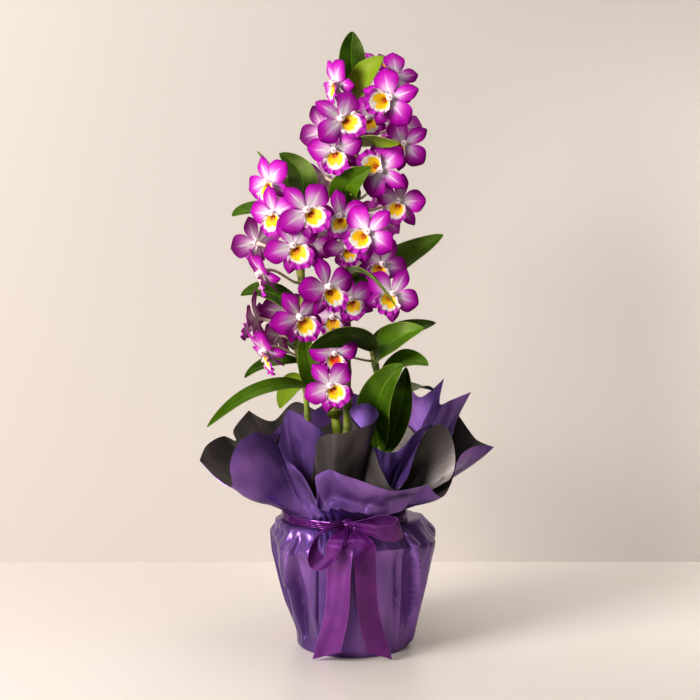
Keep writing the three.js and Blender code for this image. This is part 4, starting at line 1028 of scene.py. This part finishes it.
def rim_columns(rim, corners):
    """Finer columns than the rim's points: neck angle and rim point of each. The rim is sharp at corners."""
    count = len(rim)
    steps = np.arange(count * RIM_STEPS)
    u = steps / RIM_STEPS
    angles = np.array([row[0] for row in rim], float)
    angle = np.interp(u, np.arange(count + 1), np.append(angles, angles[0] + 360))
    points = np.array([row[1:] for row in rim], float)
    slopes = (np.roll(points, -1, 0) - np.roll(points, 1, 0)) / 2
    slopes[np.isin(angles, corners)] = 0
    index = steps // RIM_STEPS
    after = (index + 1) % count
    return angle, eased((u % 1)[:, None], points[index], points[after], slopes[index], slopes[after])


def body_folds(angle, z):
    """Depth of the film's long folds, each steep on one side and with a raised lip beside it."""
    share = (0.15 + 0.85 * smooth_step(*FOLD_GROWS, z)) * (1 - 0.7 * smooth_step(*FOLD_FADES, z))
    total = 0
    for number, (at, depth, width) in enumerate(BODY_FOLDS + SMALL_FOLDS):
        side = -1 if number % 2 else 1
        if abs(at) < FRONT_HALF_ANGLE:
            at = at * (1 + FOLD_SPREAD * np.clip(1 - z / SHOULDER_Z, 0, 1))
        turn = away(angle, at)
        reach = np.where(turn * side > 0, FOLD_SOFT * width, FOLD_STEEP * width)
        lip = LIP_RISE * hump(turn * side, -LIP_ASIDE * width, LIP_WIDTH * width)
        total = total + depth * (np.exp(-np.abs(turn) / reach) - lip)
    return total * share


def pleats(angle):
    """Narrow gathers round the neck, 0 to 1, never quite alike."""
    angle = np.radians(angle)
    drift = 1.3 * np.sin(3 * angle + 1) + 0.9 * np.sin(7 * angle + 2)
    wave = 1 - np.abs(np.sin(PLEATS / 2 * angle + drift * 1.5))
    return wave * (0.6 + 0.4 * np.sin(5 * angle + 3))


def drawn_tight(grid):
    """How each point moves to bring the sheet onto flat panels with crisp edges between them."""
    draw = random.Random(PANEL_SEED)
    offset = grid - PANEL_CENTRE
    nearest = np.full(grid.shape[:2], PANEL_OUTMOST)
    for radius, z, lean, count in PANELS:
        for step in range(count):
            turn = 2 * math.pi * (step + draw.uniform(-PANEL_SHIFT, PANEL_SHIFT)) / count
            at = facing(turn, 0) * radius + (0, 0, z) - PANEL_CENTRE
            turn = turn + draw.gauss(0, PANEL_TURN)
            normal = facing(turn, math.radians(lean + draw.gauss(0, PANEL_LEAN)))
            nearest = np.minimum(nearest, normal.dot(at) / np.maximum(offset @ normal, 1e-6))
    return offset * (np.maximum(nearest, PANEL_INMOST) - 1)[..., None]


def creases(grid, seed, number, size, depth):
    """Crisp ridges and valleys with flat flanks at random places of a sheet, near upright."""
    draw = random.Random(seed)
    flat = grid.reshape(-1, 3)
    total = np.zeros(len(flat))
    for _ in range(number):
        centre = flat[draw.randrange(len(flat))]
        line = unit(np.array((draw.gauss(0, CREASE_LEAN), draw.gauss(0, CREASE_LEAN), 1)))
        length, width = draw.uniform(0.7, 1.6) * size, draw.uniform(0.2, 0.5) * size
        offset = flat - centre
        reach = offset @ line
        aside = np.linalg.norm(offset - reach[:, None] * line, axis=1)
        roof = np.clip(np.minimum(1 - aside / width, 1.6 * (1 - np.abs(reach) / length)), 0, 1)
        total += draw.choice((-1, -0.7, 0.6, 1)) * depth * roof
    return total.reshape(grid.shape[:2])


def pushed(grid, amount):
    """The sheet moved along its normal by an amount for each point."""
    along = np.gradient(grid, axis=0)
    across = np.roll(grid, -1, 1) - np.roll(grid, 1, 1)
    return grid + unit(np.cross(across, along)) * amount[..., None]


def radial_folds(angle):
    """Sharp folds that run out from the tied neck."""
    draw = random.Random(RADIAL_SEED)
    total = 0
    for step in range(RADIAL_FOLDS):
        at = (step + draw.uniform(0.1, 0.9)) * 360 / RADIAL_FOLDS
        height = draw.choice((-1, -0.8, 0.7)) * draw.uniform(1.2, 3)
        total = total + height * np.exp(-np.abs(away(angle, at)) / RADIAL_WIDTH)
    return total


def collar(angle, points, radius):
    """From the tied neck to the rim: straight runs of film, gathered where the ribbon holds them."""
    t = np.linspace(0, 1, COLLAR_ROWS)[1:, None]
    foot = neck_circle(angle, radius, NECK_HIGH_Z)
    grid = foot + (points - foot) * t[..., None]
    folds = radial_folds(angle) * window(t, *RADIAL_ZONE)
    return pushed(grid, folds - PLEAT_DEEP * pleats(angle) * np.exp(-t / PLEAT_FADE))


def collar_rows():
    """0 at the collar's lowest row to 1 at the rim."""
    return np.linspace(0, 1, COLLAR_ROWS - 1)[:, None]


def tongue(grid):
    """A flap of gathered film that hangs over the body at the front left and ends in a rounded lip."""
    offset = grid - TONGUE
    across = offset[..., :2] @ TONGUE_ACROSS / TONGUE_HALF_WIDTH
    height = offset[..., 2]
    side = np.where(grid[..., 1] < 0, np.clip(1 - np.abs(across) ** 3, 0, 1), 0)
    low, full, late, gone = TONGUE_ZONE
    lip = smooth_step(low, full, height - TONGUE_ROUND * across**2)
    return side * lip * (1 - smooth_step(late, gone, height))


def front_roll(angle, t):
    """A roll of film that climbs from the knot to the right across the front, undercut below."""
    above = t - ROLL_LOW - ROLL_RISE * (angle - ROLL_FROM) / (ROLL_TO - ROLL_FROM)
    ends = window(angle, ROLL_FROM - 4, ROLL_FROM + 8, ROLL_TO - 12, ROLL_TO + 2)
    return ends * np.where(above > 0, hump(above, 0, ROLL_ROUND), np.exp(above / ROLL_UNDERCUT))


def body_film(angle):
    """From the foot to the neck: a cone and a round shoulder, drawn tight into panels, folds and gathers."""
    cone_z = np.linspace(BODY_LOW_Z, SHOULDER_Z, 30)[:, None]
    cone = body_circle(angle, FOOT_R + (SHOULDER_R - FOOT_R) * cone_z / SHOULDER_Z, cone_z)
    rise = np.linspace(0, math.pi / 2, 14)[1:-1, None]
    shoulder_z = SHOULDER_Z + (NECK_LOW_Z - SHOULDER_Z) * np.sin(rise)
    inner, outer = neck_circle(angle, NECK_R, shoulder_z), body_circle(angle, SHOULDER_R, shoulder_z)
    sheet = np.concatenate([cone, inner + (outer - inner) * np.cos(rise)[..., None]])
    rise = np.concatenate([np.zeros((len(cone), 1)), rise])
    ends = window(sheet[..., 2], *TIGHT_ZONE)
    sheet = sheet + drawn_tight(sheet) * ends[..., None]
    height = sheet[..., 2]
    small = creases(sheet, *SHOULDER_CREASES) * smooth_step(*SHOULDER_ZONE, height)
    gathers = SHOULDER_DEEP * np.sin(2 * rise) ** 2 * pleats(angle)
    puff = sum(depth * hump(away(angle, 0), at, PUFF_WIDTH) for at, depth in PUFFS)
    puff = puff * hump(rise, PUFF_RISE, PUFF_TALL)
    folds = body_folds(angle, height)
    return pushed(sheet, (small - folds) * ends + puff - gathers + TONGUE_OUT * tongue(sheet))


def outer_sheet():
    angle, points = rim_columns(OUTER_RIM, OUTER_CORNERS)
    foot = np.array([body_circle(angle, radius, z) for radius, z in FOOT_RINGS])
    neck_z = np.linspace(NECK_LOW_Z, NECK_HIGH_Z, 5)[:, None]
    neck = neck_circle(angle, NECK_R - PLEAT_DEEP * pleats(angle), neck_z)
    upper = collar(angle, points, NECK_R)
    t, turn = collar_rows(), away(angle, 0)
    belly = sum(share * hump(turn, at, width) for at, share, width in BELLIES) * BELLY * t**3 * (1 - t)
    small = creases(upper, *COLLAR_CREASES) * smooth_step(0, 0.3, t)
    upper = pushed(upper, ROLL_OUT * front_roll(turn, t) + belly + small)
    return np.concatenate([foot, body_film(angle), neck, upper]), angle


def tucked_sheet(rim, corners, radius, small, swell=0):
    angle, points = rim_columns(rim, corners)
    neck_z = np.linspace(TUCK_LOW_Z, NECK_HIGH_Z, 8)[:, None]
    neck = neck_circle(angle, radius - PLEAT_DEEP * pleats(angle), neck_z)
    upper = collar(angle, points, radius)
    bulge = swell * collar_rows() * hump(away(angle, 0), *FRONT_LOBE)
    return np.concatenate([neck, pushed(upper, bulge + creases(upper, *small))]), angle


def film_sheet(name, grid, angle, outside, inside, node, slot, flat, area):
    shape = Shape()
    along = np.linspace(0, 1, len(grid))[:, None]
    shape.shell(grid, FILM_THICK, stacked(angle / 360, along, 0.5), 0, 1, ring=True)
    if node == "wrap_middle":
        turns = np.concatenate(shape.places)[:, 0] * 360
        for number, face in enumerate(shape.faces):
            if ROLLED_LOBE[0] < turns[face[0]] < ROLLED_LOBE[1]:
                shape.finishes[number] = 0
    piece = finished(name, shape, (outside, inside), node, 40)


film_sheet(
    "film_wrap", *outer_sheet(),
    FILM_PURPLE, FILM_CHARCOAL, "wrap_outer", "film_purple", (0.90, 0.32), 0.176,
)
film_sheet(
    "film_middle",
    *tucked_sheet(MIDDLE_RIM, MIDDLE_CORNERS, NECK_R - FILM - TUCK_GAP, MIDDLE_CREASES, LOBE_SWELL),
    FILM_CHARCOAL, FILM_PURPLE, "wrap_middle", "film_charcoal", (0.50, 0.15), 0.06,
)
film_sheet(
    "film_inner", *tucked_sheet(INNER_RIM, INNER_CORNERS, NECK_R - 2 * (FILM + TUCK_GAP), INNER_CREASES),
    FILM_PURPLE, FILM_CHARCOAL, "wrap_inner", "film_purple", (0.45, 0.11), 0.04,
)


# ---- ribbon ----
STRIP = np.linspace(-1, 1, 11)
LOOP_LONG, TAIL_LONG = 0.13, 0.15
LOOP_PINCH, TAIL_PINCH = 0.32, 0.5
TAIL_TURN = 0.55
CUT_FROM = 0.75
BAND_PLEAT = 1.65
BAND_OUT = 1.8
DEGREES_A_METRE = 940


def strip(shape, t, grid, length):
    shape.shell(grid, RIBBON, stacked(STRIP, t[:, None] * length, 0.5))


def ribbon_loop(shape, path, across, width):
    t = np.linspace(0, 1, 48)
    centre = curve_at(path, t)
    half = unit(np.array(across, float)) * width / 2
    spread = LOOP_PINCH + (1 - LOOP_PINCH) * np.sin(math.pi * t) ** 0.8
    grid = centre[:, None] + (spread[:, None] * STRIP)[..., None] * half
    normal = unit(np.cross(np.gradient(centre, axis=0), half))
    crimp = (1 - np.sin(math.pi * t))[:, None] ** 2 * 1.1 * np.sin(7 * STRIP + 1) + 0.5 * STRIP**2
    strip(shape, t, grid + normal[:, None] * crimp[..., None], LOOP_LONG)


def ribbon_tail(shape, path, width, long_side):
    """Narrow at the knot, half turned further down, and cut at a slant."""
    t = np.linspace(0, 1, 40)
    centre = curve_at(path, t)
    spread = TAIL_PINCH + (1 - TAIL_PINCH) * smooth_step(0, 0.3, t)
    turn = TAIL_TURN * long_side * smooth_step(0.25, 0.6, t)
    turned = unit(stacked(np.ones(len(t)), turn, 0))[:, None]
    grid = centre[:, None] + (spread[:, None] * STRIP * width / 2)[..., None] * turned
    share = (1 + STRIP[:, None] * long_side) / 2
    corner = CUT_SHORT + share * (CUT_LONG * np.array((long_side, 1, 1)) - CUT_SHORT)
    grid = grid + np.clip((t - CUT_FROM) / (1 - CUT_FROM), 0, 1)[:, None, None] * corner
    t_rows = t[:, None]
    wave = 0.9 * np.sin(math.pi * STRIP + 5 * t_rows) * (1 - 0.4 * t_rows)
    crimp = 1.2 * (1 - smooth_step(0, 0.3, t_rows)) * np.sin(8 * STRIP)
    strip(shape, t, grid + (wave + crimp)[..., None] * np.array((0, -1.0, 0)), TAIL_LONG)


def ribbon_band(shape):
    """The pleated band round the neck."""
    angle = np.linspace(0, 360, 240, endpoint=False)
    z = np.linspace(BAND_LOW_Z, BAND_HIGH_Z, 33)[:, None]
    turn = np.radians(angle)
    crimp = 0.85 * np.sin(2 * math.pi * z / BAND_PLEAT + 2 * np.sin(5 * turn)) + 0.2 * np.sin(23 * turn)
    band = neck_circle(angle, NECK_R + BAND_OUT + crimp, z + 0.4 * np.sin(9 * turn))
    places = stacked((z - BAND_MIDDLE) / BAND_HALF, angle / DEGREES_A_METRE, 0.5)
    shape.shell(band, RIBBON, places, ring=True)


def ribbon_knot(shape):
    """A short pinched roll of ribbon."""
    x = np.linspace(-1, 1, 15)[:, None]
    turn = np.linspace(0, 2 * math.pi, 28, endpoint=False)
    swell = np.sqrt(np.maximum(1 - x**2, 0.003)) * (1 + 0.1 * np.sin(5 * turn + 4 * x))
    knot = KNOT + stacked(x, swell * np.cos(turn), swell * np.sin(turn)) * KNOT_HALF
    shape.tube(knot, stacked(turn / 4, x * 0.01, 0.5))


shape = Shape()
ribbon_band(shape)
for loop in LOOPS:
    ribbon_loop(shape, *loop)
for tail in TAILS:
    ribbon_tail(shape, *tail)
ribbon_knot(shape)
ribbon = finished("satin_bow", shape, (SATIN, SATIN), "ribbon", 60)


# ---- pot and mix ----
for node, finish in (("pot", POT), ("potting_mix", BARK)):
    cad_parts[node].data.materials.clear()
    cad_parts[node].data.materials.append(finish)


# ---- camera, light and surroundings ----
CAMERA_PLACE = (-0.0035, -1.5, 0.45)
PITCH_DOWN = 5.7
PICTURE = 700
FOCAL = 1500
SENSOR = 36.0
LEFT, RIGHT, NEAR, WALL_Y, TOP = -0.9, 0.52, -0.5, 0.34, 1.3
# Lights: name, place, what it points at, size, power, colour and spread in degrees.
LIGHTS = (
    ("key", (-1.7, -1.4, 1.15), (0, 0, 0.3), 1.0, 116, (1.0, 0.985, 0.965), 180),
    ("fill", (-0.6, -2.3, 0.8), (0, 0, 0.3), 1.4, 9, (0.97, 0.98, 1.0), 180),
    ("top", (0.2, -0.1, 2.0), (0.1, 0.1, 0), 1.4, 17, (1.0, 1.0, 1.0), 180),
    ("wall_glow", (0.8, -0.5, 0.75), (0.5, 0.34, 0.16), 0.4, 1.9, (1.0, 0.99, 0.97), 65),
)
AIR_COLOUR, AIR_STRENGTH = (1.0, 0.975, 0.95, 1.0), 0.06


def plain_plane(name, finish, *corners):
    mesh = bpy.data.meshes.new(name)
    mesh.from_pydata(corners, [], [(0, 1, 2, 3)])
    mesh.materials.append(finish)
    linked(name, mesh)


def plain_colour(one, other, scale):
    def build(w):
        return {"Base Color": w.mixed(w.grain(scale), one, other)}
    return build


def clear_from_behind(finish):
    """Lets a camera behind the wall see through it."""
    tree = finish.node_tree
    w = Wiring(tree)
    shader = Value(w, tree.nodes["Principled BSDF"].outputs[0])
    back = w.value("ShaderNodeNewGeometry", output="Backfacing")
    see_through = w.value("ShaderNodeBsdfTransparent")
    chosen = w.value("ShaderNodeMixShader", {0: back, 1: shader, 2: see_through})
    tree.links.new(chosen.socket, tree.nodes["Material Output"].inputs["Surface"])


FLOOR = new_finish("pale_floor", plain_colour(0xCCC4BE, 0xC7BDB2, 3.0), roughness=0.34)
WALL = new_finish("pale_wall", plain_colour(0xB2A9A2, 0xACA39A, 1.2), roughness=0.9)
clear_from_behind(WALL)
plain_plane("floor", FLOOR, (LEFT, NEAR, 0), (RIGHT, NEAR, 0), (RIGHT, WALL_Y, 0), (LEFT, WALL_Y, 0))
plain_plane("wall", WALL, (LEFT, WALL_Y, 0), (RIGHT, WALL_Y, 0), (RIGHT, WALL_Y, TOP), (LEFT, WALL_Y, TOP))

for name, place, target, size, power, colour, spread in LIGHTS:
    light = bpy.data.lights.new(name, "AREA")
    light.spread = math.radians(spread)
    light.shape, light.size, light.energy, light.color = "SQUARE", size, power, colour
    lamp = linked(name, light)
    lamp.location = place
    lamp.rotation_euler = (Vector(target) - Vector(place)).to_track_quat("-Z", "Y").to_euler()

world = bpy.data.worlds.new("studio")
world.use_nodes = True
air = world.node_tree.nodes["Background"].inputs
air["Color"].default_value, air["Strength"].default_value = AIR_COLOUR, AIR_STRENGTH
bpy.context.scene.world = world
bpy.context.scene.view_settings.view_transform = "Standard"

camera = linked("camera", bpy.data.cameras.new("camera"))
camera.location = CAMERA_PLACE
camera.rotation_euler = (math.radians(90 - PITCH_DOWN), 0, 0)
camera.data.sensor_width = SENSOR
camera.data.lens = SENSOR * FOCAL / PICTURE
bpy.context.scene.camera = camera
